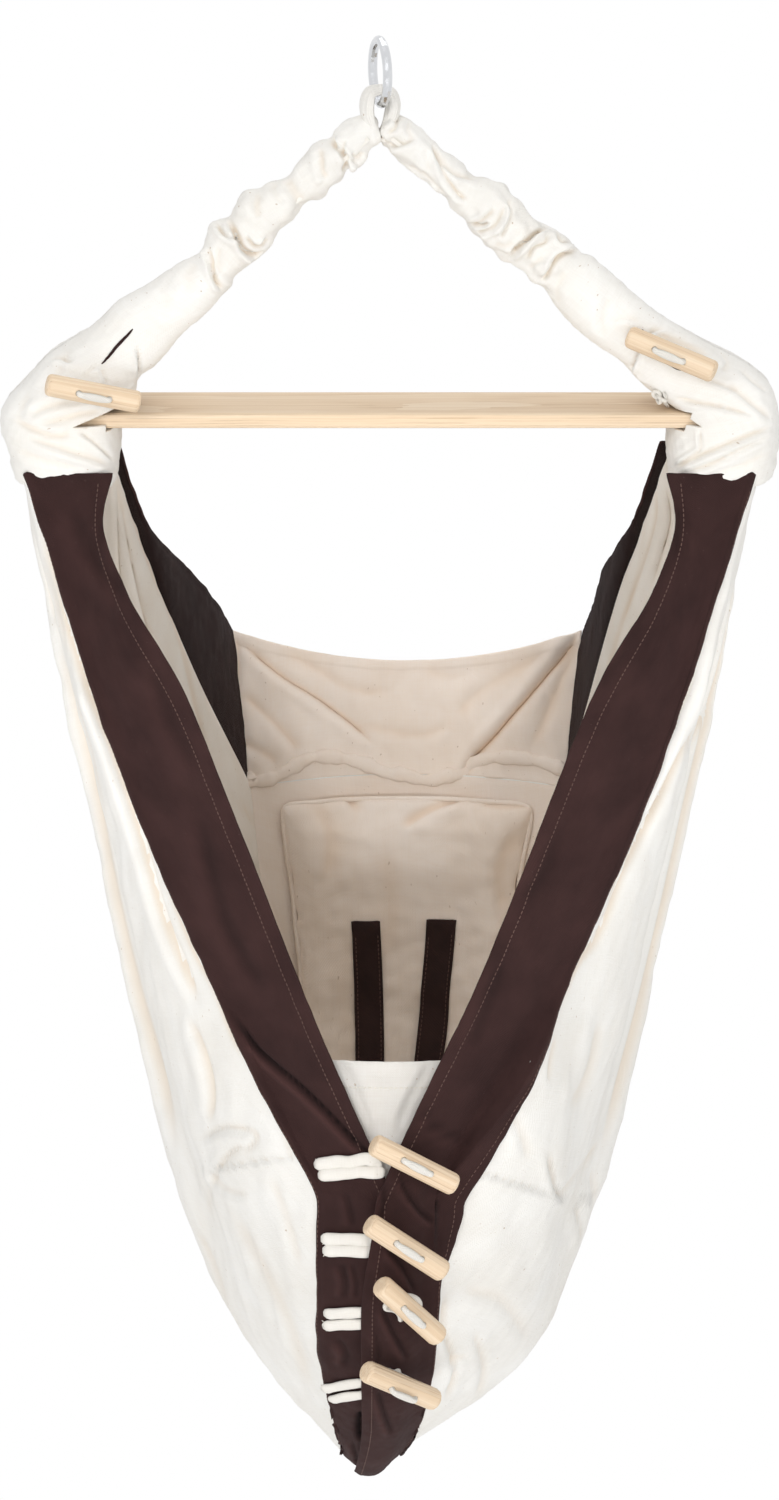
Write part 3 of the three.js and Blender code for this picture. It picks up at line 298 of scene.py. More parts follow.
FACING = (0.06, 0.42)  # how far a face must turn to the camera before a fold shows
FOLD_END = 0.18  # the share of its line over which a fold fades out
LIP_PLACE, LIP_WIDTH, LIP_HIGHLIGHT = 2.1, 1.5, 1.2  # in widths of the fold; and how much a lip counts toward the painted highlight on a fold's ridge
BACK_OFFSET = (3, 4)  # pixels by which the mirrored folds differ from those in front


def press_folds(p, n, folds, mirrored=False, shading_mark=None):
    """Valleys, and lips beside them, pressed into the cloth that faces the camera, and the same behind
    where they are mirrored. A fold is its line in the picture, in pixels, its depth, its width in pixels,
    and the height and side of its lip."""
    moved = np.zeros(p.shape[:-1])
    for back in (False, True) if mirrored else (False,):
        q, facing = p, -(n @ AHEAD)
        if back:
            q, facing = p * BEHIND, -((n * BEHIND) @ AHEAD)
        at = seen(q)
        show = smoothstep(facing, *FACING)
        for line, depth, width, lip in folds:
            line = np.asarray(line, float) + (BACK_OFFSET if back else (0, 0))
            low, high = line.min(0) - 5 * width, line.max(0) + 5 * width
            near = np.all((at > low) & (at < high), axis=-1) & (show > 0)
            if not near.any():
                continue
            far, side, along = beside(at[near], line)
            ends = smoothstep(along, -0.01, FOLD_END) * (1 - smoothstep(along, 1 - FOLD_END, 1.01))
            valley = -depth * np.exp(-(far / width) ** 2)
            from_lip = far * side * np.sign(lip or 1) - LIP_PLACE * width
            ridge = abs(lip) * np.exp(-(from_lip / (LIP_WIDTH * width)) ** 2)
            moved[near] += (valley + ridge) * ends * show[near]
            # the fold depths gathered here drive the painted shade in valleys and the painted highlight on lips
            if shading_mark is not None:
                shading_mark[near] += (LIP_HIGHLIGHT * ridge - np.exp(-(far / width) ** 2) * depth) * ends * show[near]
    return p + n * moved[..., None]


# Materials

class Nodes:
    """A node tree; each method adds a node and gives back its output."""

    def __init__(self, tree):
        self.tree = tree

    def node(self, kind, out=0, props=None, **inputs):
        n = self.tree.nodes.new("ShaderNode" + kind)
        for k, v in (props or {}).items():
            setattr(n, k, v)
        for k, v in inputs.items():
            key = int(k[1:]) if k[0] == "i" and k[1:].isdigit() else k.replace("_", " ")
            self.feed(n.inputs[key], v)
        return n.outputs[out]

    def feed(self, socket, value):
        if isinstance(value, bpy.types.NodeSocket):
            self.tree.links.new(value, socket)
        else:
            socket.default_value = value

    def math(self, operation, a, b=0.0, c=0.0):
        return self.node("Math", props={"operation": operation}, i0=a, i1=b, i2=c)

    def times(self, a, b):
        return self.math("MULTIPLY", a, b)

    def plus(self, a, b):
        return self.math("ADD", a, b)

    def times_plus(self, a, b, c):
        return self.math("MULTIPLY_ADD", a, b, c)

    def vector(self, operation, a, b, out=0):
        return self.node("VectorMath", out, props={"operation": operation}, i0=a, i1=b)

    def scaled(self, coords, scale):
        return self.vector("MULTIPLY", coords, scale)

    def split(self, coords):
        return self.node("SeparateXYZ", slice(3), Vector=coords)

    def noise(self, coords, scale, detail=3.0, rough=0.55, out=0):
        return self.node("TexNoise", out, Vector=coords, Scale=scale, Detail=detail, Roughness=rough)

    def streaks(self, coords, scale, detail=3.0, rough=0.55, out=0):
        """Noise with a scale of its own each way."""
        return self.noise(self.scaled(coords, scale), 1.0, detail, rough, out)

    def value(self, fac, low, high, to_low=0.0, to_high=1.0):
        return self.node("MapRange", props={"clamp": True}, Value=fac, From_Min=low, From_Max=high,
                         To_Min=to_low, To_Max=to_high)

    def direct_rays(self):
        """1 on rays that show a thing to the camera: straight, mirrored or through something clear."""
        self.node("LightPath")
        rays = self.tree.nodes[-1].outputs
        return self.math("MAXIMUM", rays["Is Camera Ray"],
                         self.math("MAXIMUM", rays["Is Glossy Ray"], rays["Is Transmission Ray"]))


class Look(Nodes):
    """A material's node tree, with its shader."""

    def __init__(self, name):
        self.mat = bpy.data.materials.new(name)
        self.mat.use_nodes = True
        super().__init__(self.mat.node_tree)
        self.shader = self.tree.nodes["Principled BSDF"]

    def cloth_uv(self):
        return self.node("UVMap", props={"uv_map": "cloth"})

    def ramp(self, fac, stops):
        n = self.tree.nodes.new("ShaderNodeValToRGB")
        ramp = n.color_ramp
        while len(ramp.elements) < len(stops):
            ramp.elements.new(1.0)
        for e, (pos, colour) in zip(ramp.elements, stops):
            e.position, e.color = pos, (*colour, 1)
        self.feed(n.inputs[0], fac)
        return n.outputs[0]

    def mix(self, fac, a, b):
        n = self.tree.nodes.new("ShaderNodeMix")
        n.data_type = "RGBA"
        self.feed(n.inputs[0], fac)
        for socket, v in ((n.inputs[6], a), (n.inputs[7], b)):
            self.feed(socket, (*v, 1) if isinstance(v, tuple) else v)
        return n.outputs[2]

    def bump(self, height, distance, strength=1.0, normal=None):
        more = {} if normal is None else {"Normal": normal}
        return self.node("Bump", Distance=distance, Strength=strength, Height=height, **more)

    def set(self, **inputs):
        for k, v in inputs.items():
            self.feed(self.shader.inputs[k.replace("_", " ")], (*v, 1) if isinstance(v, tuple) else v)


def fold_shade_and_highlight(look, colour, deep, shade_share, high, highlight_share):
    """Paints shade into the cloth's colour in the valleys of its folds, and a painted highlight on their
    ridges. Where a piece keeps no fold depths there is no tint.
    """
    shading_mark = look.node("Attribute", 2, props={"attribute_name": "fold"})
    has = look.math("GREATER_THAN", shading_mark, 0.0001)
    valley = look.times(look.value(shading_mark, 0.5, 0.05, 0.0, shade_share), has)
    ridge = look.value(shading_mark, 0.5, 0.85, 0.0, highlight_share)
    return look.mix(ridge, look.mix(valley, colour, deep), high)


def plain_weave(look, uv, pitch):
    """Height of a plain weave, 0 to 1, with threads of uneven thickness."""
    moved = look.vector("ADD", uv, look.scaled(look.noise(uv, 90.0, 2.0, out=1), (0.0012, 0.0012, 0.0012)))
    x, y, _ = look.split(moved)
    turns = 2 * pi / pitch
    crossed = look.times(look.math("SINE", look.times(x, turns)), look.math("SINE", look.times(y, turns)))
    return look.times_plus(crossed, 0.5, 0.5)


def cotton(name, light, deep, pitch=0.0014, flecks=1.0, sheen=0.12, weave=0.00022):
    """Woven cotton: a plain weave with slubs, flecks of seed and a soft crush."""
    look = Look(name)
    uv = look.cloth_uv()
    threads = plain_weave(look, uv, pitch)
    slubs = look.plus(look.streaks(uv, (45.0, 900.0, 1.0)), look.streaks(uv, (1000.0, 38.0, 1.0)))
    slubs = look.times(slubs, 0.5)
    tone = look.times_plus(look.noise(uv, 14.0, 4.0), 0.6, look.times(slubs, 0.4))
    colour = look.mix(look.value(tone, 0.36, 0.62), deep, light)
    speck = look.value(look.streaks(uv, (420.0, 300.0, 1.0), 1.0, 0.4), 0.735, 0.765)
    thin = look.value(look.streaks(uv, (60.0, 60.0, 1.0), 1.0), 0.5, 0.56)
    colour = look.mix(look.times(look.times(speck, thin), 0.55 * flecks), colour, (0.42, 0.27, 0.15))
    # painted fold shade: a darker, warmer cream in the valleys; the light cream is the painted highlight on the
    # ridges
    valley = tuple(c * w for c, w in zip(deep, (0.94, 0.83, 0.71)))
    crush = look.bump(look.noise(uv, 55.0, 4.0, 0.6), 0.0011, 0.35)
    height = look.plus(look.times(threads, 0.6), look.times(slubs, 1.3))
    look.set(Base_Color=fold_shade_and_highlight(look, colour, valley, 0.62, light, 0.3),
             Roughness=look.value(slubs, 0.3, 0.7, 0.82, 0.95), Normal=look.bump(height, weave, 1.0, crush),
             Sheen_Weight=sheen, Sheen_Roughness=0.5, Specular_IOR_Level=0.25)
    return look.mat


def twill(name, light, deep, pitch=0.0011):
    """Twill: slanted ribs, crossed by finer ones, with a little lint."""
    look = Look(name)
    uv = look.cloth_uv()
    u, v, _ = look.split(uv)
    wobble = look.times(look.noise(uv, 120.0, 2.0), 0.0006)
    rib = look.math("SINE", look.times(look.plus(look.plus(u, v), wobble), 2 * pi / pitch))
    cross = look.math("SINE", look.times(look.math("SUBTRACT", u, v), 4 * pi / pitch))
    height = look.times_plus(rib, 0.35, look.times_plus(cross, 0.12, 0.5))
    colour = look.mix(look.value(look.noise(uv, 22.0, 4.0, 0.6), 0.32, 0.68), deep, light)
    lint = look.value(look.streaks(uv, (700.0, 240.0, 1.0), 2.0), 0.72, 0.8)
    colour = look.mix(look.times(lint, 0.22), colour, (0.28, 0.2, 0.19))
    # painted fold shade: a far darker brown in the valleys, and a lighter brown as painted highlight on the
    # ridges
    colour = fold_shade_and_highlight(look, colour, tuple(0.25 * c for c in deep), 0.9, tuple(1.9 * c for c in light), 0.5)
    crush = look.bump(look.noise(uv, 70.0, 4.0, 0.6), 0.0009, 0.35)
    look.set(Base_Color=colour, Roughness=look.value(height, 0.1, 0.9, 0.92, 0.78),
             Normal=look.bump(height, 0.00018, 1.0, crush), Sheen_Weight=0.07, Sheen_Roughness=0.4,
             Sheen_Tint=(0.55, 0.42, 0.42), Specular_IOR_Level=0.2)
    return look.mat


def ash_wood(name, along=(1.0, 0.0, 0.0), across=(0.0, 1.0, 0.0), middle=(0.0, 0.0, 0.0), offset=0.0):
    """Ash: long streaks of open pores in wavy rings. The grain runs along the given way."""
    look = Look(name)
    away = look.vector("SUBTRACT", look.node("TexCoord", 3), middle)
    ways = [tuple(float(v) for v in w) for w in (along, across, np.cross(along, across))]
    x, y, z = (look.vector("DOT_PRODUCT", away, w, out=1) for w in ways)
    far_off = 0.026 if offset else 0.06
    moved = look.vector("ADD", look.node("CombineXYZ", i0=x, i1=y, i2=z),
                        (offset, 0.004 + offset / 70, far_off + offset / 30))
    wave = look.streaks(moved, (5.0, 26.0, 26.0), 3.0, 0.5, out=1)
    bent = look.vector("ADD", moved, look.scaled(wave, (0.0, 0.005, 0.005)))
    _, y, z = look.split(bent)
    far = look.math("SQRT", look.plus(look.math("POWER", y, 2.0), look.math("POWER", z, 2.0)))
    rings = look.math("FRACT", look.times(far, 560.0))
    early = look.value(rings, 0.0, 0.35, 1.0, 0.0)
    open_grain = look.value(look.streaks(bent, (14.0, 1500.0, 1500.0), 2.0, 0.5), 0.56, 0.66)
    pores = look.times(open_grain, look.times_plus(early, 0.75, 0.25))
    tone = look.streaks(moved, (4.0, 420.0, 420.0), 4.0, 0.65)
    colour = look.ramp(look.times_plus(rings, 0.22, look.times(tone, 0.8)), (
        (0.14, (0.62, 0.43, 0.265)), (0.45, (0.765, 0.585, 0.40)), (0.8, (0.86, 0.715, 0.545))))
    fibre = look.times(look.streaks(moved, (30.0, 900.0, 900.0), 2.0), 0.3)
    look.set(Base_Color=look.mix(look.times(pores, 0.5), colour, (0.42, 0.25, 0.125)),
             Roughness=look.value(pores, 0.0, 1.0, 0.5, 0.75), Specular_IOR_Level=0.4,
             Normal=look.bump(look.math("SUBTRACT", fibre, pores), 0.00022, 0.8))
    return look.mat


def smooth_look(name, dark, light, smear, rough, grain, grain_height, grain_strength, metallic=0.0):
    """Metal or moulded plastic: smears in its colour and shine, and a fine grain."""
    look = Look(name)
    obj = look.node("TexCoord", 3)
    smear = look.noise(obj, *smear)
    look.set(Base_Color=look.mix(smear, dark, light), Metallic=metallic,
             Roughness=look.value(smear, 0.3, 0.7, *rough),
             Normal=look.bump(look.streaks(obj, grain), grain_height, grain_strength))
    return look.mat


def braid(name, light, deep, turns=900.0):
    """A braided cord: two ways of slanted strands, with fuzz."""
    look = Look(name)
    uv = look.cloth_uv()
    u, v, _ = look.split(uv)
    strands = [look.math("SINE", look.times(look.math(way, u, look.times(v, 0.8)), 2 * pi * turns))
               for way in ("ADD", "SUBTRACT")]
    height = look.math("MAXIMUM", *strands)
    fuzz = look.streaks(uv, (1500.0, 1500.0, 1.0), 2.0)
    look.set(Base_Color=look.mix(look.value(look.times_plus(fuzz, 1.2, height), -0.6, 1.6), deep, light),
             Roughness=look.value(fuzz, 0.3, 0.7, 0.85, 0.95), Sheen_Weight=0.15,
             Normal=look.bump(look.plus(height, fuzz), 0.00025, 0.8))
    return look.mat


CREAM, CREAM_DEEP = (0.905, 0.89, 0.855), (0.84, 0.81, 0.755)
canvas = cotton("canvas", CREAM, CREAM_DEEP)
# the lining's warm beige is partly its own colour and partly painted warm bounce light from inside the bag
lining = cotton("lining", (0.965, 0.868, 0.785), (0.92, 0.79, 0.675), pitch=0.0012, flecks=0.8, sheen=0.05)
# painted warm bounce light: a warmer copy of the canvas for the side panels' inner faces
canvas_painted_bounce = cotton("canvas_painted_bounce", (0.95, 0.90, 0.83), (0.90, 0.83, 0.74), sheen=0.05)
# painted shade: a darker copy of the canvas for the apron inside the foot end
apron_painted_shade = cotton("apron_painted_shade", (0.82, 0.80, 0.765), (0.74, 0.70, 0.645))
tape_look = cotton("tape", (0.93, 0.90, 0.85), (0.84, 0.80, 0.73), pitch=0.001, flecks=0.3, weave=0.0003)
brown = twill("twill", (0.045, 0.0195, 0.018), (0.028, 0.0115, 0.0108))
# painted shade: a darker copy of the twill for the rear trims' inner faces, which lie in shade
painted_shade_brown = twill("painted_shade_twill", (0.022, 0.0095, 0.009), (0.014, 0.006, 0.0055))
strap_brown = twill("strap", (0.040, 0.020, 0.018), (0.022, 0.011, 0.010), pitch=0.0022)
ash = ash_wood("ash_bar")
chrome = smooth_look("chrome", (0.60, 0.61, 0.63), (0.74, 0.75, 0.77), (120.0, 3.0), (0.07, 0.16),
                     (900.0, 2600.0, 900.0), 0.00002, 0.35, metallic=1.0)
moulded = smooth_look("moulded", (0.012, 0.010, 0.010), (0.022, 0.019, 0.019), (60.0, 4.0), (0.38, 0.5),
                      (2600.0, 2600.0, 2600.0), 0.00004, 0.6)
cord_look = braid("cord", (0.93, 0.90, 0.84), (0.80, 0.75, 0.66))
brown_thread = cotton("brown_thread", (0.15, 0.085, 0.07), (0.10, 0.055, 0.045), flecks=0.0)
cream_thread = cotton("cream_thread", (0.86, 0.82, 0.74), (0.74, 0.69, 0.60), flecks=0.0)


# Meshes

def grid_quads(rows, cols, round_rows=False, round_cols=False):
    """The corners of each cell in a grid of points, as their numbers in it."""
    i, j = np.meshgrid(np.arange(rows if round_rows else rows - 1),
                       np.arange(cols if round_cols else cols - 1), indexing="ij")
    i2, j2 = (i + 1) % rows, (j + 1) % cols
    return np.stack([i * cols + j, i * cols + j2, i2 * cols + j2, i2 * cols + j], -1).reshape(-1, 4)


def end_caps(rows, cols):
    return [list(range(cols))[::-1], list(range((rows - 1) * cols, rows * cols))]


def set_uv(mesh, uvs):
    """Texture coordinates for each vertex, in metres, in the layer that the looks read."""
    layer = mesh.uv_layers.new(name="cloth")
    index = np.empty(len(mesh.loops), dtype=np.int64)
    mesh.loops.foreach_get("vertex_index", index)
    layer.data.foreach_set("uv", np.asarray(uvs, np.float32)[index].ravel())


def new_object(name, verts, faces, uvs=None, mats=(), face_mats=None, smooth=True):
    mesh = bpy.data.meshes.new(name)
    mesh.from_pydata([tuple(v) for v in verts], [], [tuple(f) for f in faces])
    if uvs is not None:
        set_uv(mesh, uvs)
    for m in mats:
        mesh.materials.append(m)
    if face_mats is not None:
        mesh.polygons.foreach_set("material_index", np.asarray(face_mats, np.int32))
    mesh.polygons.foreach_set("use_smooth", np.full(len(mesh.polygons), smooth))
    mesh.update()
    obj = bpy.data.objects.new(name, mesh)
    bpy.context.scene.collection.objects.link(obj)
    return obj


def face_out(obj):
    bm = bmesh.new()
    bm.from_mesh(obj.data)
    bmesh.ops.recalc_face_normals(bm, faces=bm.faces)
    bm.to_mesh(obj.data)
    bm.free()


def vectors(items, key):
    """Three numbers of each item of a mesh, such as each vertex's place."""
    out = np.empty(len(items) * 3, np.float32)
    items.foreach_get(key, out)
    return out.reshape(-1, 3).astype(float)


def vertices(obj):
    return vectors(obj.data.vertices, "co")


def move_vertices(obj, co):
    obj.data.vertices.foreach_set("co", co.astype(np.float32).ravel())


FOLD_SHADING_RANGE = 8  # millimetres from the deepest valley that shows to the highest ridge, in the painted fold shade and highlight


def store_fold_shading(obj, shading_marks):
    """Keeps how deep the folds were pressed, for the looks to paint shade into the valleys and highlight onto
    the ridges: 0.5 is flat, less a valley, more a ridge.
    """
    value = 0.5 + np.clip(shading_marks / FOLD_SHADING_RANGE, -0.5, 0.5)
    obj.data.attributes.new("fold", "FLOAT", "POINT").data.foreach_set("value", value.astype(np.float32))


def outward_normals(grid, toward, wrap=False):
    """A grid's normals, on the side of the given way."""
    if wrap:
        ext = np.concatenate([grid[:, -1:], grid, grid[:, :1]], axis=1)
        across = ext[:, 2:] - ext[:, :-2]
    else:
        across = np.gradient(grid, axis=1)
    n = unit(np.cross(np.gradient(grid, axis=0), across))
    return -n if np.sum(n * toward) < 0 else n


def even(values):
    """A row of numbers, each averaged with its neighbours."""
    window = np.hanning(43)[1:-1]
    return np.convolve(np.pad(values, 20, "edge"), window / window.sum(), "valid")


def lengths(p, axis=0):
    """How far along a path, or along each row of a grid, its points are."""
    parts = np.linalg.norm(np.diff(p, axis=axis), axis=-1)
    first = np.zeros_like(np.take(parts, [0], axis=axis))
    return np.concatenate([first, np.cumsum(parts, axis=axis)], axis=axis)


def arc_uv(g, wrap=False):
    """Lengths along both ways of a grid, in metres, counted from its middle row and first column."""
    u, v = lengths(g), lengths(g, 1)
    if wrap:
        # a tube's cloth keeps one length along it and one share round it, so that its threads don't shear
        u = np.repeat(u.mean(1, keepdims=True), g.shape[1], axis=1)
        v = even(v[:, -1])[:, None] * (v / v[:, -1:]).mean(0)
    return np.stack([u - u[g.shape[0] // 2], v], -1)


RIM_OUT = 0.38  # how far the rim of a cloth stands out, as a share of its thickness


def cloth(name, grid, thick, mat, toward, body="cradle", wrap=False, shading_mark=None, inner=None):
    """A closed shell of cloth under a grid of points, in metres. Its second face lies inward, and has
    a look of its own where inner gives one."""
    nu, nv = grid.shape[:2]
    n = outward_normals(grid, toward, wrap)
    flat, flat_n = grid.reshape(-1, 3), n.reshape(-1, 3)
    base = len(flat)
    verts = np.concatenate([flat, flat - flat_n * thick])
    uvs = np.concatenate([arc_uv(grid, wrap).reshape(-1, 2)] * 2)
    shading_marks = np.concatenate([np.zeros(base) if shading_mark is None else shading_mark.ravel()] * 2)
    index = np.arange(base).reshape(nu, nv)
    if wrap:
        rims = [index[0], index[-1, ::-1]]
    else:
        rims = [np.concatenate([index[0, :-1], index[:-1, -1], index[-1, :0:-1], index[:0:-1, 0]])]
    # the rim: two rows between the faces, pushed out to a half round
    rim_faces = []
    for rim in rims:
        p, m = flat[rim], flat_n[rim]
        out = unit(np.cross(unit(np.roll(p, -1, 0) - np.roll(p, 1, 0)), m))
        i, j = np.divmod(rim, nv)
        inside = np.clip(i, 1, nu - 2) * nv + (j if wrap else np.clip(j, 1, nv - 2))
        away = p - flat[inside]
        away = away - np.sum(away * m, -1, keepdims=True) * m
        sign = np.sign(np.sum(out * away, -1, keepdims=True))
        out = out * np.where(sign == 0, 1, sign)
        start, count = len(verts), len(rim)
        verts = np.concatenate([verts] + [p - m * thick * deep + out * thick * RIM_OUT
                                          for deep in (0.25, 0.75)])
        uvs = np.concatenate([uvs, uvs[rim], uvs[rim]])
        shading_marks = np.concatenate([shading_marks, shading_marks[rim], shading_marks[rim]])
        chain = [rim, start + np.arange(count), start + count + np.arange(count), base + rim]
        for low, high in zip(chain[:-1], chain[1:]):
            rim_faces.append(np.stack([low, high, np.roll(high, -1), np.roll(low, -1)], -1))
    quads = grid_quads(nu, nv, round_cols=wrap)
    faces = np.concatenate([quads, quads[:, ::-1] + base] + rim_faces)
    face_mats = np.zeros(len(faces), np.int32)
    face_mats[len(quads):2 * len(quads)] = 1 if inner else 0
    obj = new_object(name, verts, faces, uvs, [mat, inner] if inner else [mat], face_mats)
    store_fold_shading(obj, shading_marks)
    face_out(obj)
    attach(obj, body)
    return obj


def steps(count, low=0.0, high=1.0):
    return np.linspace(low, high, count + 1)


def mesh_grid(u, v):
    return np.meshgrid(u, v, indexing="ij")


# The arms: one tube of cloth each, from the hem over the bar's end up to the neck.
# Each station: middle along the bar and up, half width, its direction in degrees, and half depth.

ARMS = {
    -1: [(-214.6, -43.8, 32.5, 175.1, 38), (-215.7, -27, 37.3, 169.9, 40), (-216.3, -14.3, 39.5, 171, 40),
         (-214.8, -0.7, 38.4, 172.4, 38), (-203.1, 16.6, 35.1, 168.3, 34), (-192.8, 30.8, 29.3, 163.6, 29),
         (-173.1, 43.9, 24.7, 154, 24), (-156.3, 62.3, 22.7, 148.6, 20), (-137.7, 75, 19.8, 146.9, 18),
         (-122.5, 87.2, 17, 140.5, 17), (-112, 94.8, 15.6, 130, 16), (-109.2, 102.4, 15.6, 130.4, 16),
         (-101, 111.9, 18.4, 137.1, 17), (-92.2, 117.2, 16.6, 139.9, 15), (-84.2, 129.3, 17.4, 135.9, 16),
         (-72.9, 137.8, 14.3, 133.4, 15), (-64.4, 143.3, 11.6, 128.6, 12.5), (-58.2, 148.5, 11.2, 125.2, 12),
         (-50.5, 154.3, 13.8, 117.4, 14), (-40.1, 164, 14.6, 114.3, 15), (-31.7, 170.5, 11.6, 114, 12),
         (-26.6, 174, 14.1, 111.5, 13), (-19.5, 180, 13.6, 111, 11), (-13.5, 183.6, 11, 105, 9.5),
         (-9, 184.5, 9.5, 95, 8.5), (-6.3, 184, 6, 90, 6.5)],
    1: [(219.6, -43.8, 32.2, 4.9, 38), (220, -25.6, 36.7, 8.1, 40), (219.6, -14, 37, 7, 40),
        (219.4, 0, 35.6, 8, 38), (217.8, 10.1, 33, 16.1, 35), (206.3, 20.3, 27.7, 29.5, 31),
        (190.6, 29.4, 24.2, 40.6, 27), (176.6, 38.8, 22, 46.9, 22), (164.1, 48.6, 20.4, 48.3, 19),
        (149.5, 59.3, 20.8, 51.8, 18), (131.9, 74.9, 21, 53.2, 18), (119.3, 87.2, 19.4, 54, 17),
        (112.3, 93.6, 16.3, 46.3, 15), (102.8, 101.4, 18.4, 55.1, 17), (93.9, 108.3, 16.6, 55, 16),
        (87, 113.2, 15.5, 57.2, 14), (79.9, 118.3, 17.5, 64.3, 16), (69.7, 128.6, 19.2, 67.5, 17),
        (58.7, 137.4, 17.6, 66.9, 16), (50.2, 143.6, 13.6, 65, 13), (42.4, 150.8, 12.6, 71, 13),
        (28.4, 162.4, 12.6, 75.8, 14), (18.6, 171.1, 13.3, 74.9, 14), (8.2, 179.8, 12.7, 74.7, 11),
        (1.5, 184.6, 11.4, 77.2, 9.5), (-2.5, 184.8, 10, 85, 8.5), (-5.7, 184, 6, 90, 6.5)],
}
ARM_FOLDS = {
    -1: [([(331, 136), (336, 146), (343, 156), (347, 165), (344, 173)], 3.4, 2.6, -1.6),
         ([(345, 139), (342.5, 149), (347, 157), (352, 160.5), (359, 164)], 3.2, 2.2, 1.6),
         ([(351, 153), (357, 158), (364, 152)], 1.6, 2.4, 0.8),
         ([(320.5, 146), (321, 160), (322.5, 172), (328, 179)], 1.9, 3.4, 1.2),
         ([(285, 178), (291, 187), (297, 197), (303, 203)], 1.4, 5.0, 0.8),
         ([(273, 181), (276, 193), (283, 205)], 0.9, 4.5, 0.6),
         ([(258, 192), (256.5, 207), (258, 219)], 1.3, 4.0, 0.9),
         ([(227, 217), (234, 231), (239.5, 240), (243.5, 249), (251, 255), (257, 256.5),
           (265, 252)], 4.6, 2.6, 2.4),
         ([(245, 235), (255, 246), (260.5, 246.5), (268, 238)], 2.6, 1.8, -1.2),
         ([(216, 223), (222.5, 232), (230, 237.5), (240, 239.5)], 2.4, 2.0, 1.2),
         ([(207, 246), (209.5, 256), (212.5, 271), (216.5, 282), (224, 291)], 3.4, 2.4, 2.0),
         ([(219, 246), (217, 262), (221, 275)], 1.0, 4.0, 0.9),
         ([(196, 262), (188, 275), (190, 296)], 0.7, 6.0, 0.5),
         ([(175, 275), (165, 290), (170, 312)], 0.5, 7.0, 0.4),
         ([(84, 379), (90, 372), (97, 365)], 0.9, 1.8, 0.5),
         ([(101, 365), (103, 374), (107, 386)], 1.3, 1.4, 0.8),
         ([(136, 344), (139, 360), (139, 373), (138, 384), (131, 391)], 2.2, 1.6, 1.6),
         ([(48, 361), (60, 357), (72, 363)], 1.6, 2.2, 1.0),
         ([(105, 411), (82, 413), (60, 419), (30, 427)], 1.8, 3.6, 1.4),
         ([(85, 402), (62, 403), (45, 408), (28, 418)], 1.4, 4.0, 1.0),
         ([(72, 430), (58, 436), (36, 430), (12, 417)], 1.9, 3.4, 1.2),
         ([(25, 437), (62, 449), (90, 458), (113, 466)], 1.7, 3.0, 1.2),
         ([(15, 450), (50, 462), (80, 468)], 0.9, 4.0, 0.7),
         ([(78, 431), (94.5, 442.5), (114.5, 461)], 1.6, 1.5, 1.0),
         ([(30, 392), (22, 406), (18, 420)], 0.8, 5.0, 0.6),
         ([(66, 346), (58, 372), (40, 396)], 0.9, 5.0, 0.7)],
    1: [([(374, 130), (383.5, 143), (391, 145.5), (404, 143), (417, 137)], 1.8, 2.6, 1.2),
        ([(397, 113), (395.5, 126), (387, 134)], 1.6, 2.4, 1.0),
        ([(411, 119), (408, 130), (413, 139)], 0.8, 3.0, 0.6),
        ([(425, 147), (429, 159), (428, 173)], 1.0, 3.4, 0.8),
        ([(431, 141), (438, 157), (442.5, 170), (449.5, 183), (459.5, 195), (468, 201)], 2.6, 2.6, 1.8),
        ([(440, 155), (448, 167.5), (461, 176), (480, 178)], 1.4, 2.8, 0.9),
        ([(404, 165), (420, 172), (434, 184), (452, 200)], 1.0, 2.4, 0.8),
        ([(496, 207), (487, 216), (478, 222), (469, 225), (462, 222)], 2.0, 2.2, 1.4),
        ([(466, 224), (472, 225), (481, 226), (490, 222)], 3.4, 1.5, 1.0),
        ([(463, 232), (478, 233), (494, 227), (503, 214), (506, 199)], 2.2, 2.4, 1.6),
        ([(508, 197), (511, 213), (505, 229), (499, 238)], 2.2, 2.2, 1.4),
        ([(494, 245), (504, 247), (516, 242)], 1.0, 3.0, 0.7),
        ([(509, 258), (517, 249), (527, 240.5), (538.5, 232), (549, 226)], 4.4, 2.3, 2.2),
        ([(547, 231), (545, 240.5), (533, 248), (525, 261)], 2.4, 2.4, 1.5),
        ([(528, 270), (537, 262), (545, 258)], 1.0, 2.6, 0.8),
        ([(557, 229), (561, 240), (572, 243)], 2.0, 2.0, 1.2),
        ([(580, 247), (569, 252), (558.5, 256.5), (553, 265), (548.5, 273.5), (540, 282)], 3.6, 2.4, 2.2),
        ([(566, 268), (556, 290), (560, 306)], 0.8, 4.0, 0.6),
        ([(610, 296), (603, 315), (604, 340)], 0.9, 4.0, 0.8),
        ([(612, 322), (625, 318), (640, 322)], 0.7, 3.0, 0.6),
        ([(668, 328), (652, 331), (643, 342), (636, 357), (631, 370), (632, 379), (652, 389)], 2.6, 1.7, -2.2),
        ([(648, 331), (675, 340), (712, 356)], 2.4, 2.6, 1.2),
        ([(722, 352), (727, 363), (722, 371)], 1.4, 2.4, 1.0),
        ([(697, 377), (716, 382), (738, 392)], 1.1, 2.6, 0.8),
        ([(672, 398), (697, 402.5), (720, 406.5), (757, 416)], 1.9, 2.2, 1.3),
        ([(728, 383), (747, 399), (772, 419)], 1.4, 3.4, 1.0),
        ([(668, 472), (700, 456), (737, 441), (774, 426)], 2.4, 2.4, 1.8),
        ([(676, 474), (712, 464), (737, 451), (771, 434)], 2.0, 2.4, 1.4),
        ([(715, 474), (742, 466), (765, 455)], 0.9, 3.0, 0.7),
        ([(699, 428), (700, 440), (699, 450), (686, 459), (674, 468)], 1.6, 1.4, 1.2),
        ([(740, 368), (752, 380), (768, 392)], 0.9, 2.6, 0.7)],
}
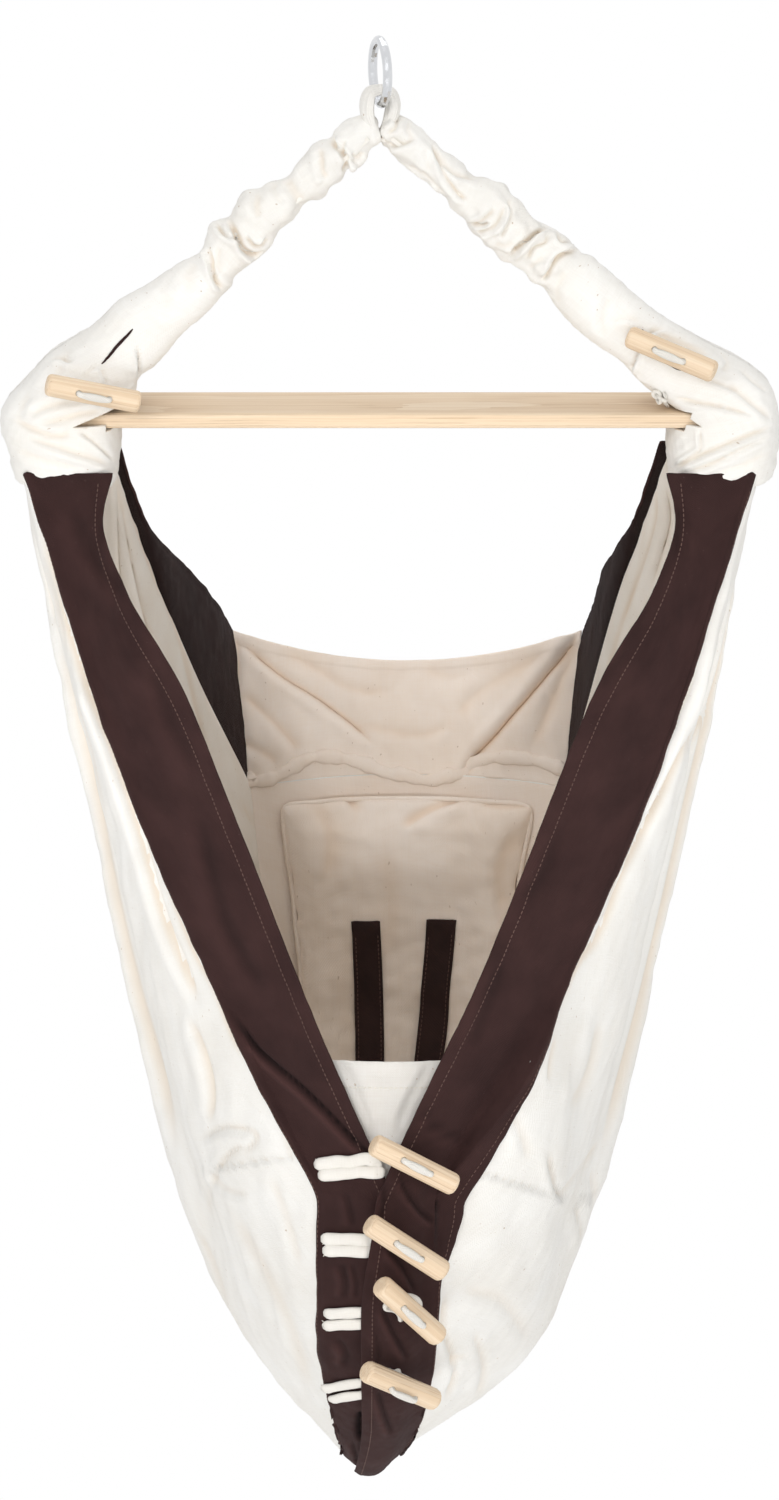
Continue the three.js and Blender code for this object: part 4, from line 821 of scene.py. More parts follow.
# the opening that lets the bar out: where it starts, and a picture point on its upper edge
SLITS = {-1: (206, (118, 410)), 1: (203, (664, 408))}
SLIT_FOOT, SLIT_END = -1.6, 150
FOLD_SCALE = {-1: 1.4, 1: 1.35}


def arm_tube(side, rows, cols):
    """The arm's tube before its folds, and each row's place along it. Its section is a superellipse."""
    table = np.array(ARMS[side], float)
    place = np.linspace(0, 1, rows)
    turn = np.radians(table[:, 3])
    squareness = np.interp(np.arange(len(table)), (0, 5, 8, 30), (3.2, 2.8, 2.1, 2))
    keys = np.column_stack([table[:, :3], table[:, 4], np.cos(turn), np.sin(turn), squareness])
    x, z, half, deep, cx, cz, power = spline(keys, place).T
    a = round_angles(cols)
    e = (2 / power)[:, None]
    ca = np.sign(np.cos(a)) * np.abs(np.cos(a)) ** e
    sa = np.sign(np.sin(a)) * np.abs(np.sin(a)) ** e
    size = np.hypot(cx, cz)
    grid = np.stack([x[:, None] + (cx / size * half)[:, None] * ca, -deep[:, None] * sa,
                     z[:, None] + (cz / size * half)[:, None] * ca], -1)
    return grid, place


def ripple(p, seed, scale):
    """Smooth, seeded noise on points in millimetres, from sums of slanted waves."""
    rng = np.random.default_rng(seed)
    total = 0
    for _ in range(14):
        way = rng.normal(size=3)
        way *= rng.uniform(0.6, 2.2) / (scale * np.linalg.norm(way))
        total = total + np.sin(2 * pi * (p @ way) + rng.uniform(0, 2 * pi))
    return total / 3.7


def cut_away(obj, tools):
    """Cuts closed pieces out of another, and removes them."""
    for tool in tools:
        mod = obj.modifiers.new("cut", "BOOLEAN")
        mod.operation = "DIFFERENCE"
        mod.solver = "EXACT"
        mod.object = tool
        apply_modifiers(obj)
        bpy.data.objects.remove(tool)


def apply_modifiers(obj):
    graph = bpy.context.evaluated_depsgraph_get()
    mesh = bpy.data.meshes.new_from_object(obj.evaluated_get(graph))
    obj.modifiers.clear()
    obj.data = mesh


def unseen(px, py, y=0.0):
    """The point of the bar's frame at depth y that the picture shows at a pixel."""
    way = AHEAD + np.array([1.0, 0, 0]) * (px - MIDDLE[0]) / FOCAL - ABOVE * (py - MIDDLE[1]) / FOCAL
    eye = EYE - SHIFT
    return eye + way * (y - eye[1]) / way[1]


def cutter(name, points, faces):
    obj = new_object(name, row(np.array(points)), faces, smooth=False)
    face_out(obj)
    return obj


ARM_ROWS, ARM_COLS = 300, 150
BACK_CALM = 16  # rounds of smoothing for the folds behind, where the photograph doesn't show them
WAY_END, WAY_DEEP, WAY_HIGH = 235, 30, 6.2
WEDGE_FRONT, WEDGE_BACK, SLIT_DEPTH = -60, -2, -36
arm_skin = {}
for side, word in ((-1, "left"), (1, "right")):
    p, place = arm_tube(side, ARM_ROWS, ARM_COLS)
    n = outward_normals(p, p - p.mean(1, keepdims=True), True)
    ruched = smoothstep(place, 0.42, 0.5)[:, None]
    rough = (0.9 * ruched * ripple(p, 5 + side, 24) + 0.5 * (1 - ruched) * ripple(p, 9 + side, 60)
             + 0.22 * ripple(p, 13 + side, 13))
    p = p + n * rough[..., None]
    n2 = outward_normals(p, n, True)
    n2 = n2 * np.sign(np.sum(n2 * n, -1, keepdims=True))
    shading_mark = np.zeros(p.shape[:2])
    pressed = press_folds(p, n2, resized(ARM_FOLDS[side], FOLD_SCALE[side], 1), mirrored=True, shading_mark=shading_mark) - p
    calm = pressed.copy()
    for _ in range(BACK_CALM):
        around = np.roll(calm, 1, 1) + np.roll(calm, -1, 1) + np.roll(calm, 1, 0) + np.roll(calm, -1, 0)
        around[0], around[-1] = 4 * calm[0], 4 * calm[-1]
        calm = 0.3 * calm + 0.175 * around
    behind = smoothstep(n[..., 1], -0.5, -0.12)[..., None]
    p = p + pressed + (calm - pressed) * behind
    shading_mark = 0.5 * shading_mark * behind[..., 0] + shading_mark * (1 - behind[..., 0])
    arm_skin[side] = p, n2
    hem = smoothstep(place, 0.0, 0.004) * (1 - smoothstep(place, 0.018, 0.026))
    p = p + n * (1.0 * hem - 0.5 * np.exp(-((place - 0.03) / 0.004) ** 2))[:, None, None]
    arm = cloth("cloth_arm_" + word, row(p), CLOTH_THICK, canvas, n, wrap=True, shading_mark=shading_mark)
    # the bar comes out through a wedge at the front and a way through to the arm's inner end
    apex, spot = SLITS[side]
    high = unseen(*spot, SLIT_DEPTH)
    rise = (high[2] - SLIT_FOOT) / (apex - abs(high[0]))
    corners = [(apex, SLIT_FOOT), (SLIT_END, SLIT_FOOT + rise * (apex - SLIT_END)), (SLIT_END, SLIT_FOOT)]
    wedge = cutter("wedge", [(side * x, y, z) for y in (WEDGE_FRONT, WEDGE_BACK) for x, z in corners],
                   [f[::-side] for f in ((0, 1, 2), (5, 4, 3), (0, 3, 4, 1), (1, 4, 5, 2), (2, 5, 3, 0))])
    ends = sorted((SLIT_END * side, WAY_END * side))
    way = cutter("way", [(x, y, z) for x in ends for y in (-WAY_DEEP, WAY_DEEP) for z in (-WAY_HIGH, WAY_HIGH)],
                 [(0, 1, 3, 2), (6, 7, 5, 4), (4, 5, 1, 0), (2, 3, 7, 6), (0, 2, 6, 4), (5, 7, 3, 1)])
    cut_away(arm, (wedge, way))
    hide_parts("hood_" + word, "sleeve_" + word)

# Small parts of cloth, cord and thread

def tube(name, path, radius, mat, flat=1.0, across=None, closed=False, sides=12, slot=None, ride=True):
    """A tube along points in metres. flat is its height as a share of its width, and across is the way
    of its width. One that becomes part of a joined piece doesn't ride."""
    p, count = path, len(path)
    ahead = unit(np.roll(p, -1, 0) - np.roll(p, 1, 0)) if closed else unit(np.gradient(p, axis=0))
    radius = np.broadcast_to(np.asarray(radius, float), count)
    flat = np.broadcast_to(np.asarray(flat, float), count)
    if across is None:
        start = np.cross(ahead[0], (0, 0, 1) if abs(ahead[0][2]) < 0.8 else (1, 0, 0))
        across = np.empty_like(p)
        for k in range(count):
            start = unit(start - ahead[k] * (start @ ahead[k]))
            across[k] = start
    across = unit(across - ahead * np.sum(across * ahead, -1, keepdims=True))
    up = np.cross(ahead, across)
    if not closed:
        grow, back = np.array([0.45, 0.85]), np.array([0.9, 0.5])
        p = np.concatenate([p[:1] - ahead[:1] * radius[0] * back[:, None], p,
                            p[-1:] + ahead[-1:] * radius[-1] * back[::-1, None]])
        radius = np.concatenate([radius[0] * grow, radius, radius[-1] * grow[::-1]])
        flat, across, up = (np.concatenate([v[:1].repeat(2, 0), v, v[-1:].repeat(2, 0)])
                            for v in (flat, across, up))
        count = len(p)
    a = round_angles(sides)
    turn_x, turn_y = np.cos(a)[None, :, None], np.sin(a)[None, :, None]
    section = turn_x * across[:, None] + flat[:, None, None] * turn_y * up[:, None]
    g = p[:, None] + radius[:, None, None] * section
    uv = np.stack([np.broadcast_to(lengths(p)[:, None], g.shape[:2]), a[None, :] * radius[:, None]], -1)
    verts, uvs = g.reshape(-1, 3), uv.reshape(-1, 2)
    faces = grid_quads(count, sides, closed, True).tolist() + ([] if closed else end_caps(count, sides))
    obj = new_object(name, verts, faces, uvs, [mat])
    face_out(obj)
    if ride:
        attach(obj, "cradle")
    return obj


def joined(name, pieces, body="cradle"):
    """One piece made of several meshes."""
    verts, faces, uvs, mats, face_mats = [], [], [], [], []
    for piece in pieces:
        mesh = piece.data
        base = len(verts)
        verts += [tuple(v.co) for v in mesh.vertices]
        own = np.zeros((len(mesh.vertices), 2))
        if mesh.uv_layers:
            layer = mesh.uv_layers[0].data
            for loop in mesh.loops:
                own[loop.vertex_index] = layer[loop.index].uv
        uvs += [tuple(v) for v in own]
        mat = mesh.materials[0]
        if mat not in mats:
            mats.append(mat)
        for poly in mesh.polygons:
            faces.append([base + k for k in poly.vertices])
            face_mats.append(mats.index(mat))
        bpy.data.objects.remove(piece)
    obj = new_object(name, verts, faces, np.array(uvs), mats, face_mats)
    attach(obj, body)
    return obj


def stitches(name, path, normals, mat, pitch=3.3, length=2.3, radius=0.33, lift=0.1):
    """A row of thread stitches along points of the bar's frame, in millimetres."""
    far = lengths(path)
    at = np.arange(pitch, far[-1] - pitch, pitch)
    along = lambda at, values: np.stack([np.interp(at, far, values[:, k]) for k in range(3)], -1)
    middle, n = along(at, path), unit(along(at, normals))
    ahead = unit(along(at + length / 2, path) - along(at - length / 2, path))
    side = np.cross(n, ahead)
    sides = 6
    a = round_angles(sides)
    turn_x, turn_y = np.cos(a)[None, :, None], np.sin(a)[None, :, None]
    rings = []
    for place, size in ((-0.5, 0.35), (-0.3, 1), (0.3, 1), (0.5, 0.35)):
        base = middle + ahead * place * length + n * lift
        rings.append(base[:, None] + radius * size * (turn_x * side[:, None] + 0.8 * turn_y * n[:, None]))
    verts = row(np.stack(rings, 1)).reshape(-1, 3)
    shell, caps = grid_quads(len(rings), sides, round_cols=True), np.array(end_caps(len(rings), sides))
    faces = []
    for k in range(len(at)):
        first = k * len(rings) * sides
        faces += (shell + first).tolist() + (caps + first).tolist()
    obj = new_object(name, verts, faces, verts[:, :2], [mat])
    face_out(obj)
    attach(obj, "cradle")
    return obj


def spots_on(grid, normals, spots):
    """Points and normals of a face where the picture shows the given pixels."""
    flat, n = grid.reshape(-1, 3), normals.reshape(-1, 3)
    at = seen(flat)
    toward = (n @ AHEAD) < 0
    best = []
    for spot in spots:
        far = np.sum((at - spot) ** 2, -1) + np.where(toward, 0, 1e4)
        near = np.argsort(far)[:4]
        w = 1 / (far[near] + 0.05)
        best.append(((flat[near] * w[:, None]).sum(0) / w.sum(), unit((n[near] * w[:, None]).sum(0))))
    return np.array([b[0] for b in best]), np.array([b[1] for b in best])


def on_face(grid, normals, line, count, lift, rounds=2):
    """A smooth line drawn in the picture, laid on a face: its points, in millimetres, and normals."""
    p, n = spots_on(grid, normals, spline(line, np.linspace(0, 1, count)))
    for _ in range(rounds):
        p[1:-1] = (p[:-2] + 2 * p[1:-1] + p[2:]) / 4
        n[1:-1] = unit(n[:-2] + 2 * n[1:-1] + n[2:])
    return p + n * lift, n


def drawn_tube(name, face, line, count, lift, radius, mat, **more):
    """A flat tube along a line drawn in the picture, laid on a face of points and normals."""
    line, n = on_face(*face, line, count, lift)
    return tube(name, row(line), radius, mat, across=np.cross(np.gradient(line, axis=0), n), **more)


# Details on the arms

ends = np.sin(pi * np.linspace(0.02, 0.98, 40)) ** 0.4
drawn_tube("pocket_slit_left", arm_skin[-1], [(133, 329), (126, 337), (118, 345), (110, 355), (102, 364)],
           40, 0.3, 0.00105 * ends, brown, flat=0.55, slot="twill")
# painted shade: short dark brown strips where the cord's holes in the hood show dark
for name, line, radius in (("eyelet_right", [(642, 331), (644, 334), (647, 337)], 0.0011),
                           ("eyelet_right_low", [(671, 364), (677, 368), (683, 369)], 0.0012)):
    drawn_tube(name, arm_skin[1], line, 10, 0.1, radius, brown, flat=0.5, slot="twill")
skin, skin_n = arm_skin[1]
knot_at, knot_n = spots_on(skin, skin_n, [(661, 395)])
knot_x = unit(np.array([1.0, 0, -0.25]) - knot_n[0] * knot_n[0][0])
knot_y = np.cross(knot_n[0], knot_x)
a = round_angles(60)
trefoil = np.stack([np.sin(a) + 2 * np.sin(2 * a), np.cos(a) - 2 * np.cos(2 * a), -1.0 * np.sin(3 * a)], -1)
trefoil = trefoil * (1.75, 1.45, 1.2)
knot = knot_at[0] + knot_n[0] * 2.4 + trefoil @ np.stack([knot_x, knot_y, knot_n[0]])
pieces = [tube("knot", row(knot), 0.00125, cord_look, closed=True, ride=False)]
for tail in ([(657, 391), (656, 397), (659, 402), (662, 406)],
             [(665, 392), (667, 397), (666, 402), (668, 406)]):
    line, n = on_face(skin, skin_n, tail, 16, 1.5)
    pieces.append(tube("tail", row(line), 0.0011, cord_look, ride=False))
joined("knot_hood_right", pieces)

# The loop of cloth on the ring: it bulges on both sides of the ring's wire and is pinched in the neck

LOOP_PATH = [(-1.5, 183), (-5.5, 187.5), (-8, 194), (-8.6, 202), (-6.2, 209), (0, 210.6), (6.2, 209),
    (8.4, 202),
             (7.2, 194), (4.5, 187.5), (1, 183)]
LOOP_THICK = [2.5, 3.2, 3.9, 4.2, 3.7, 3.2, 3.7, 4.3, 4.2, 3.2, 2.5]
LOOP_WIDE = [4, 6.5, 8.5, 9, 8, 7.5, 8, 9, 8.5, 6.5, 4]
LOOP_TURN = math.radians(14)
LOOP_TOP, LOOP_CLOTH = 214.6, 0.0012
share = np.linspace(0, 1, 90)
path = spline(LOOP_PATH, share)
thick, wide = spline(np.stack([LOOP_THICK, LOOP_WIDE], -1), share).T
ahead = unit(np.gradient(path, axis=0))
a = round_angles(48)
pleat = (1 + 0.055 * np.sin(7 * a[None] + 1.5 * np.sin(5 * share[:, None]))
         + 0.035 * np.sin(12 * a[None] + 4 * share[:, None]))
u = thick[:, None] * np.sin(a)[None] * pleat
v = wide[:, None] * np.cos(a)[None] * pleat
flat_x = path[:, :1] - ahead[:, 1:] * u
flat_z = path[:, 1:] + ahead[:, :1] * u
turn_x, turn_y = math.cos(LOOP_TURN), math.sin(LOOP_TURN)
loop_grid = np.stack([RING_OFFSET + flat_x * turn_x - v * turn_y, flat_x * turn_y + v * turn_x,
                      np.minimum(flat_z, LOOP_TOP)], -1)
middle = np.stack([RING_OFFSET + path[:, 0] * turn_x, path[:, 0] * turn_y, path[:, 1]], -1)
toward = outward_normals(loop_grid, loop_grid - middle[:, None], True)
loop = cloth("cloth_loop", row(loop_grid), LOOP_CLOTH, canvas, toward, body="loop", wrap=True)
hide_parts("strap_loop")

# The bag

OUTER_FOLDS = {
    -1: [([(40, 514), (51, 589), (80, 674), (115, 760), (142, 846), (161, 915), (185, 974),
           (198, 1003)], 4.2, 5.0, 1.4),
         ([(32, 546), (64, 664), (88, 760), (107, 867), (134, 985), (161, 1081), (177, 1160)], 2.2, 7.0, 1.0),
         ([(112, 726), (129, 776), (161, 846), (177, 905), (198, 958), (214, 984), (236, 1040),
           (252, 1062)], 3.2, 4.5, -1.4),
         ([(187, 1015), (204, 1060), (210, 1090), (208, 1125)], 2.0, 5.0, 1.0),
         ([(196, 1142), (226, 1128), (256, 1136), (240, 1156)], 1.2, 4.0, 0.8),
         ([(248, 1140), (226, 1156), (212, 1180), (208, 1215)], 1.5, 4.0, 0.8),
         ([(206, 1170), (226, 1190), (250, 1196)], 0.9, 4.0, 0.6),
         ([(230, 1210), (262, 1270), (290, 1330), (310, 1400)], 1.0, 8.0, 0.6),
         ([(196, 1230), (214, 1270), (226, 1310)], 1.0, 5.0, 0.6),
         ([(270, 1176), (286, 1220), (300, 1270)], 0.8, 6.0, 0.5),
         ([(262, 1080), (280, 1120), (292, 1160)], 0.9, 6.0, 0.6),
         ([(186, 1173), (230, 1166), (270, 1160), (318, 1155)], 0.9, 1.6, 0.9)],
    1: [([(751, 524), (732, 614), (707, 704), (675, 768), (649, 819), (623, 871), (598, 935), (572, 973),
          (559, 1005)], 4.6, 5.0, 1.5),
        ([(745, 575), (726, 652), (694, 781), (668, 896), (642, 1005), (623, 1076),
          (598, 1166)], 2.4, 6.5, 1.1),
        ([(707, 652), (668, 736), (636, 813), (604, 896), (578, 954), (560, 990)], 2.4, 4.2, -1.3),
        ([(556, 1036), (551, 1060), (549, 1082)], 1.5, 3.0, 1.0),
        ([(548, 1152), (553, 1178), (560, 1196), (570, 1202)], 1.9, 3.2, 1.2),
        ([(600, 1140), (586, 1160), (572, 1180), (560, 1196)], 1.9, 3.4, 1.2),
        ([(572, 1196), (580, 1224), (584, 1250)], 1.2, 4.0, 0.8),
        ([(590, 1170), (596, 1200), (590, 1240)], 1.0, 5.0, 0.6),
        ([(600, 1020), (590, 1070), (570, 1110)], 1.1, 6.0, 0.7),
        ([(446, 1290), (443, 1327), (455, 1368), (446, 1402)], 1.7, 4.2, 1.0),
        ([(473, 1330), (484, 1368), (478, 1400)], 1.1, 4.6, 0.7),
        ([(436, 1380), (452, 1362), (470, 1356)], 0.9, 4.0, 0.6),
        ([(460, 1290), (500, 1300), (530, 1340)], 0.8, 7.0, 0.5),
        ([(500, 1100), (520, 1130), (530, 1160)], 0.9, 6.0, 0.5),
        ([(469, 1170), (514, 1183), (560, 1197), (604, 1199)], 0.9, 1.6, 0.9)],
}
INNER_FOLDS = {
    -1: [([(116, 474), (117, 526), (121, 590), (130, 640)], 2.4, 2.4, 1.2),
         ([(117, 477), (127, 543), (143, 616), (165, 690)], 2.8, 2.6, 1.4),
         ([(120, 480), (146, 560), (173, 626), (192, 700), (212, 780)], 2.8, 3.2, 1.4),
         ([(232, 800), (258, 830), (262, 860), (250, 880)], 2.2, 4.0, 1.4),
         ([(236, 812), (270, 850), (290, 900), (300, 940)], 1.8, 5.0, 1.0)],
    1: [([(658, 486), (655, 524), (636, 588), (622, 624)], 2.6, 2.6, 1.3),
        ([(665, 484), (671, 518), (662, 553), (650, 590)], 2.2, 2.6, 1.2),
        ([(651, 500), (640, 560), (618, 640), (600, 700)], 2.4, 3.2, 1.2)],
}
TRIM_FOLDS = {
    -1: [([(225, 1001), (257, 1049), (300, 1087), (330, 1116), (356, 1143), (372, 1156)], 2.4, 3.2, 1.4),
         ([(198, 803), (225, 921), (268, 996)], 0.9, 8.0, 0.5),
         ([(70, 500), (96, 560), (130, 600)], 0.8, 9.0, 0.5),
         ([(150, 660), (170, 720), (200, 770)], 0.7, 8.0, 0.4),
         ([(345, 1192), (350, 1208), (354, 1228)], 0.8, 3.6, 0.5),
         ([(341, 1262), (346, 1282), (344, 1300)], 1.0, 4.0, 0.7),
         ([(352, 1262), (357, 1284), (356, 1300)], 0.7, 3.0, 0.5),
         ([(336, 1338), (346, 1352), (344, 1368)], 0.9, 4.0, 0.9),
         ([(363, 1412), (360, 1426), (361, 1442)], 5.0, 4.2, 0),
         ([(352, 1440), (356, 1456), (360, 1466)], 0.9, 2.6, 0.6)],
    1: [([(397.5, 1175), (409, 1196), (423, 1214), (436, 1224)], 1.3, 3.0, 0.9),
        ([(386, 1246), (402, 1267), (418, 1297)], 1.3, 3.0, 0.9),
        ([(381.4, 1306), (395, 1336), (409, 1361)], 1.3, 3.0, 0.9),
        ([(377, 1388), (384, 1414), (393, 1436)], 1.2, 3.0, 0.8),
        ([(382, 1176), (384, 1200), (380, 1222)], 0.9, 3.0, 0.6),
        ([(374, 1330), (378, 1350), (376, 1370)], 0.7, 2.6, 0.5),
        ([(640, 620), (620, 660), (596, 690)], 0.8, 8.0, 0.5),
        ([(560, 830), (540, 880), (524, 900)], 0.7, 8.0, 0.5),
        ([(505, 960), (486, 1010), (470, 1050)], 0.8, 8.0, 0.5),
        ([(420, 1110), (440, 1130), (466, 1140)], 0.9, 5.0, 0.6),
        ([(680, 500), (676, 540), (660, 580)], 0.8, 8.0, 0.5)],
}
BACK_FOLDS = [([(180, 560), (260, 700), (330, 800), (372, 900)], 2.4, 6.0, 1.2),
              ([(590, 560), (520, 700), (460, 800), (420, 900)], 2.6, 6.0, 1.2),
              ([(300, 1000), (330, 1080), (352, 1160)], 1.4, 6.0, 0.8),
              ([(480, 1000), (440, 1080), (410, 1160)], 1.4, 6.0, 0.8),
              ([(380, 700), (390, 860), (384, 1000)], 0.9, 9.0, 0.6)]
HEAD_FOLDS = [([(582, 628), (554, 666), (521, 705), (495, 735), (471, 762), (461, 785)], 4.6, 3.4, 2.0),
              ([(581, 636), (564, 672), (548, 712), (531, 752)], 1.6, 5.0, 1.0),
              ([(554, 649), (505, 676), (471, 699), (458, 719)], 1.2, 6.0, 0.8),
              ([(236, 634), (238, 664), (236, 694)], 1.6, 2.6, 1.0),
              ([(235, 636), (276, 672), (322, 702), (349, 722), (378, 748)], 2.6, 3.4, 1.5),
              ([(239, 690), (276, 725), (302, 752)], 1.6, 4.6, 1.0),
              ([(236, 740), (262, 752), (280, 764)], 1.2, 5.0, 0.8),
              ([(276, 648), (322, 672), (355, 690), (392, 692)], 1.0, 5.0, 0.7),
              ([(355, 724), (388, 731), (422, 735), (455, 722)], 0.9, 5.0, 0.6),
              ([(420, 668), (452, 678), (500, 662)], 0.7, 6.0, 0.5)]


# how far a front trim laps over the side panel, in millimetres, by its place along the trim
LAPS = {-1: ((0, 0.70, 0.745, 0.79, 0.83, 0.9, 1), (2, 2, 7, 7, 1.5, 0.5, 0.3)),
        1: ((0, 0.38, 0.46, 0.52, 0.56, 0.60, 0.64, 0.68, 0.85, 0.92, 1),
            (2, 2, 9, 16, 18, 15, 9, 3, 1.5, 0.5, 0.3))}
LAP_COLUMNS, LAP_LIFT, LAP_ROUNDS = 7, 2.5, 14
UNDER_LAP, OVER_EDGE = 1.6, 1.9  # how deep the side cloth lies under a lap, and how far a lap passes its seam


def seam_points(side, along):
    """The seam between a side panel and its front trim, from the arm to the tip."""
    return side_point(side, TIP * np.maximum(0, along - VEE) / (1 - VEE), np.minimum(1, along / VEE))


def under_lap(side, p):
    """1 where a trim's lap covers the side cloth, 0 past its outer edge."""
    along = np.linspace(0, 1, 160)
    seam, width = seam_points(side, along), np.interp(along, *LAPS[side])
    near, wide = np.full(p.shape[:2], np.inf), np.ones(p.shape[:2])
    for q, w in zip(seam, width):
        far = np.linalg.norm(p - q, axis=-1)
        closer = far < near
        near, wide = np.where(closer, far, near), np.where(closer, w, wide)
    return 1 - smoothstep(near / np.maximum(wide, 2), 0.6, 0.95)


def trim_lap(side, along, cloth_p, cloth_n):
    """The part of a front trim that lies on the side panel, from its outer edge to the seam."""
    width = np.interp(along, *LAPS[side])
    seam = seam_points(side, along)
    t, s = TIP * np.maximum(0, along - VEE) / (1 - VEE), np.minimum(1, along / VEE)
    inner = side_point(side, np.clip(t + 0.03, 0, 1), np.clip(s - 0.05, 0, 1)) - seam
    evened = lambda v: np.stack([even(v[:, k]) for k in range(3)], -1)
    away = unit(np.cross(-inward(seam), unit(evened(np.gradient(seam, axis=0)))))
    away = away * np.sign(np.sum(evened(inner) * away, -1, keepdims=True))
    quads = grid_quads(*cloth_p.shape[:2]).tolist()
    tree = BVHTree.FromPolygons([Vector(v) for v in cloth_p.reshape(-1, 3)], quads)
    normals = cloth_n.reshape(-1, 3)
    share = np.linspace(1, 0, LAP_COLUMNS)
    past = OVER_EDGE * (1 - 0.85 * smoothstep(along, 0.6, 0.78))
    thin = 1 - 0.75 * smoothstep(along, 0.8, 0.95)
    lap = np.empty((len(along), LAP_COLUMNS, 3))
    for r in range(len(along)):
        for k, f in enumerate(share):
            near, _, face, _ = tree.find_nearest(Vector(seam[r] + away[r] * width[r] * f))
            lap[r, k] = np.array(near) + normals[quads[face][0]] * LAP_LIFT * thin[r]
    lap[:, -1] -= away * past[:, None]
    for _ in range(LAP_ROUNDS):
        lap[1:-1] = (lap[:-2] + 2 * lap[1:-1] + lap[2:]) / 4
    return lap


def ruffled(p, n, seed, heights):
    """Adds seeded unevenness: pairs of height and scale, in millimetres."""
    for k, (high, scale) in enumerate(heights):
        p = p + n * (high * ripple(p, seed + k, scale))[..., None]
    return p


BAG_FOLD_DEPTH, TRIM_FOLD_DEPTH, BAG_FOLD_WIDTH = 1.8, 1.7, 0.85
FACE_START = 0.04  # where a front trim's own face begins, past its seam, as a share of its width
FRONT = (0, -1, 0.1)
# the columns of each grid that carry the stitches
OUTER_SEWN, INNER_SEWN, REAR_SEWN, HEAD_SEWN, APRON_SEWN = 2, LAP_COLUMNS + 29, 26, 73, 5
# rows and columns of the grids; each grid starts a hair inside its edge, so that sheets don't share one
SIDE_GRID, FACE_COLUMNS, REAR_GRID, BOTTOM_GRID, HEAD_GRID = (230, 150), 34, (110, 30), (150, 90), (150, 80)
TRIM_ROWS = (130, 150)  # down to the vee, and from it to the tip
skins = {}
for side, word in ((-1, "left"), (1, "right")):
    t, s = mesh_grid(*(steps(count, 0.0006, 0.9994) for count in SIDE_GRID))
    p = side_point(side, t, s)
    n = outward_normals(p, -inward(rib_point(t, s)) * (side, 1, 1))
    rim = smoothstep(np.minimum(s, 1 - s), 0.0, 0.04) * smoothstep(np.minimum(t, 1 - t), 0.0, 0.05)
    p = p + (ruffled(p, n, 31 + side, [(0.8, 70), (0.35, 26)]) - p) * rim[..., None]
    shading_mark = np.zeros(p.shape[:2])
    folds = resized(OUTER_FOLDS[side], BAG_FOLD_DEPTH, BAG_FOLD_WIDTH)
    p = p + (press_folds(p, n, folds, shading_mark=shading_mark) - p) * rim[..., None]
    back = p * BEHIND
    p = p + ((press_folds(back, n * BEHIND, BACK_FOLDS, shading_mark=shading_mark) - back) * BEHIND) * rim[..., None]
    p = p + (press_folds(p, -n, INNER_FOLDS[side], shading_mark=shading_mark) - p) * rim[..., None]
    skins["side", side] = p, n
    p = p - n * (UNDER_LAP * under_lap(side, p))[..., None]
    # the inner faces take the warmer canvas copy, painted warm bounce light
    panel = cloth("cloth_side_" + word, row(p), CLOTH_THICK, canvas, n, shading_mark=shading_mark,
                  inner=canvas_painted_bounce)
    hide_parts("side_panel_" + word)

    rows = np.concatenate([steps(TRIM_ROWS[0], 0.0005, VEE), steps(TRIM_ROWS[1], VEE, 0.9995)[1:]])
    a, c = mesh_grid(rows, steps(FACE_COLUMNS, FACE_START, 1.0))
    face = front_trim_point(side, a, c)
    rise = 2.3 * (1 - smoothstep(c, 0, 0.2)) * (1 - 0.7 * smoothstep(a, 0.8, 0.95))
    face = face + outward_normals(face, FRONT) * rise[..., None]
    p = np.concatenate([trim_lap(side, rows, *skins["side", side]), face], axis=1)
    a, c = mesh_grid(rows, np.concatenate([np.zeros(LAP_COLUMNS), steps(FACE_COLUMNS, FACE_START, 1.0)]))
    n = outward_normals(p, FRONT)
    hemmed = 0.55 * smoothstep(c, 0.80, 0.86)
    puckers = 0.25 * np.sin(a * 260 + 3 * np.sin(a * 41)) * np.exp(-((c - 0.9) / 0.06) ** 2)
    p = p + n * (hemmed * smoothstep(a, 0, 0.01) + puckers)[..., None]
    p = ruffled(p, n, 51 + side, [(0.35, 40), (0.15, 14)])
    shading_mark = np.zeros(p.shape[:2])
    folds = resized(TRIM_FOLDS[side], TRIM_FOLD_DEPTH, BAG_FOLD_WIDTH)
    pressed = np.sum((press_folds(p, n, folds, shading_mark=shading_mark) - p) * n, -1)
    pressed[:, :LAP_COLUMNS + 2] = np.maximum(pressed[:, :LAP_COLUMNS + 2], -0.2)
    p = p + n * pressed[..., None]
    trim = cloth("cloth_front_trim_" + word, row(p), CLOTH_THICK, brown, n, shading_mark=shading_mark)
    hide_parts("front_trim_" + word)
    skins["trim", side] = p, n
    n = outward_normals(p, FRONT)
    for edge, column in (("outer", OUTER_SEWN), ("inner", INNER_SEWN)):
        stitches("stitches_%s_%s" % (edge, word), p[2:-4, column], n[2:-4, column], brown_thread)

    a, c = mesh_grid(steps(REAR_GRID[0], 0.001, 0.999), steps(REAR_GRID[1], 0.003, 1.0))
    p = rear_trim_point(side, a, c)
    n = outward_normals(p, (0, 1, 0))
    p = p + n * (0.5 * smoothstep(c, 0.88, 0.93) * smoothstep(a, 0, 0.02))[..., None]
    p = ruffled(p, n, 71 + side, [(0.6, 60), (0.25, 22)])
    # the inner face, seen through the opening, takes the darker twill copy, painted shade
    trim = cloth("cloth_rear_trim_" + word, row(p), CLOTH_THICK, brown, n, inner=painted_shade_brown)
    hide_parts("rear_trim_" + word)
    stitches("stitches_rear_" + word, p[2:-2, REAR_SEWN], n[2:-2, REAR_SEWN], brown_thread)

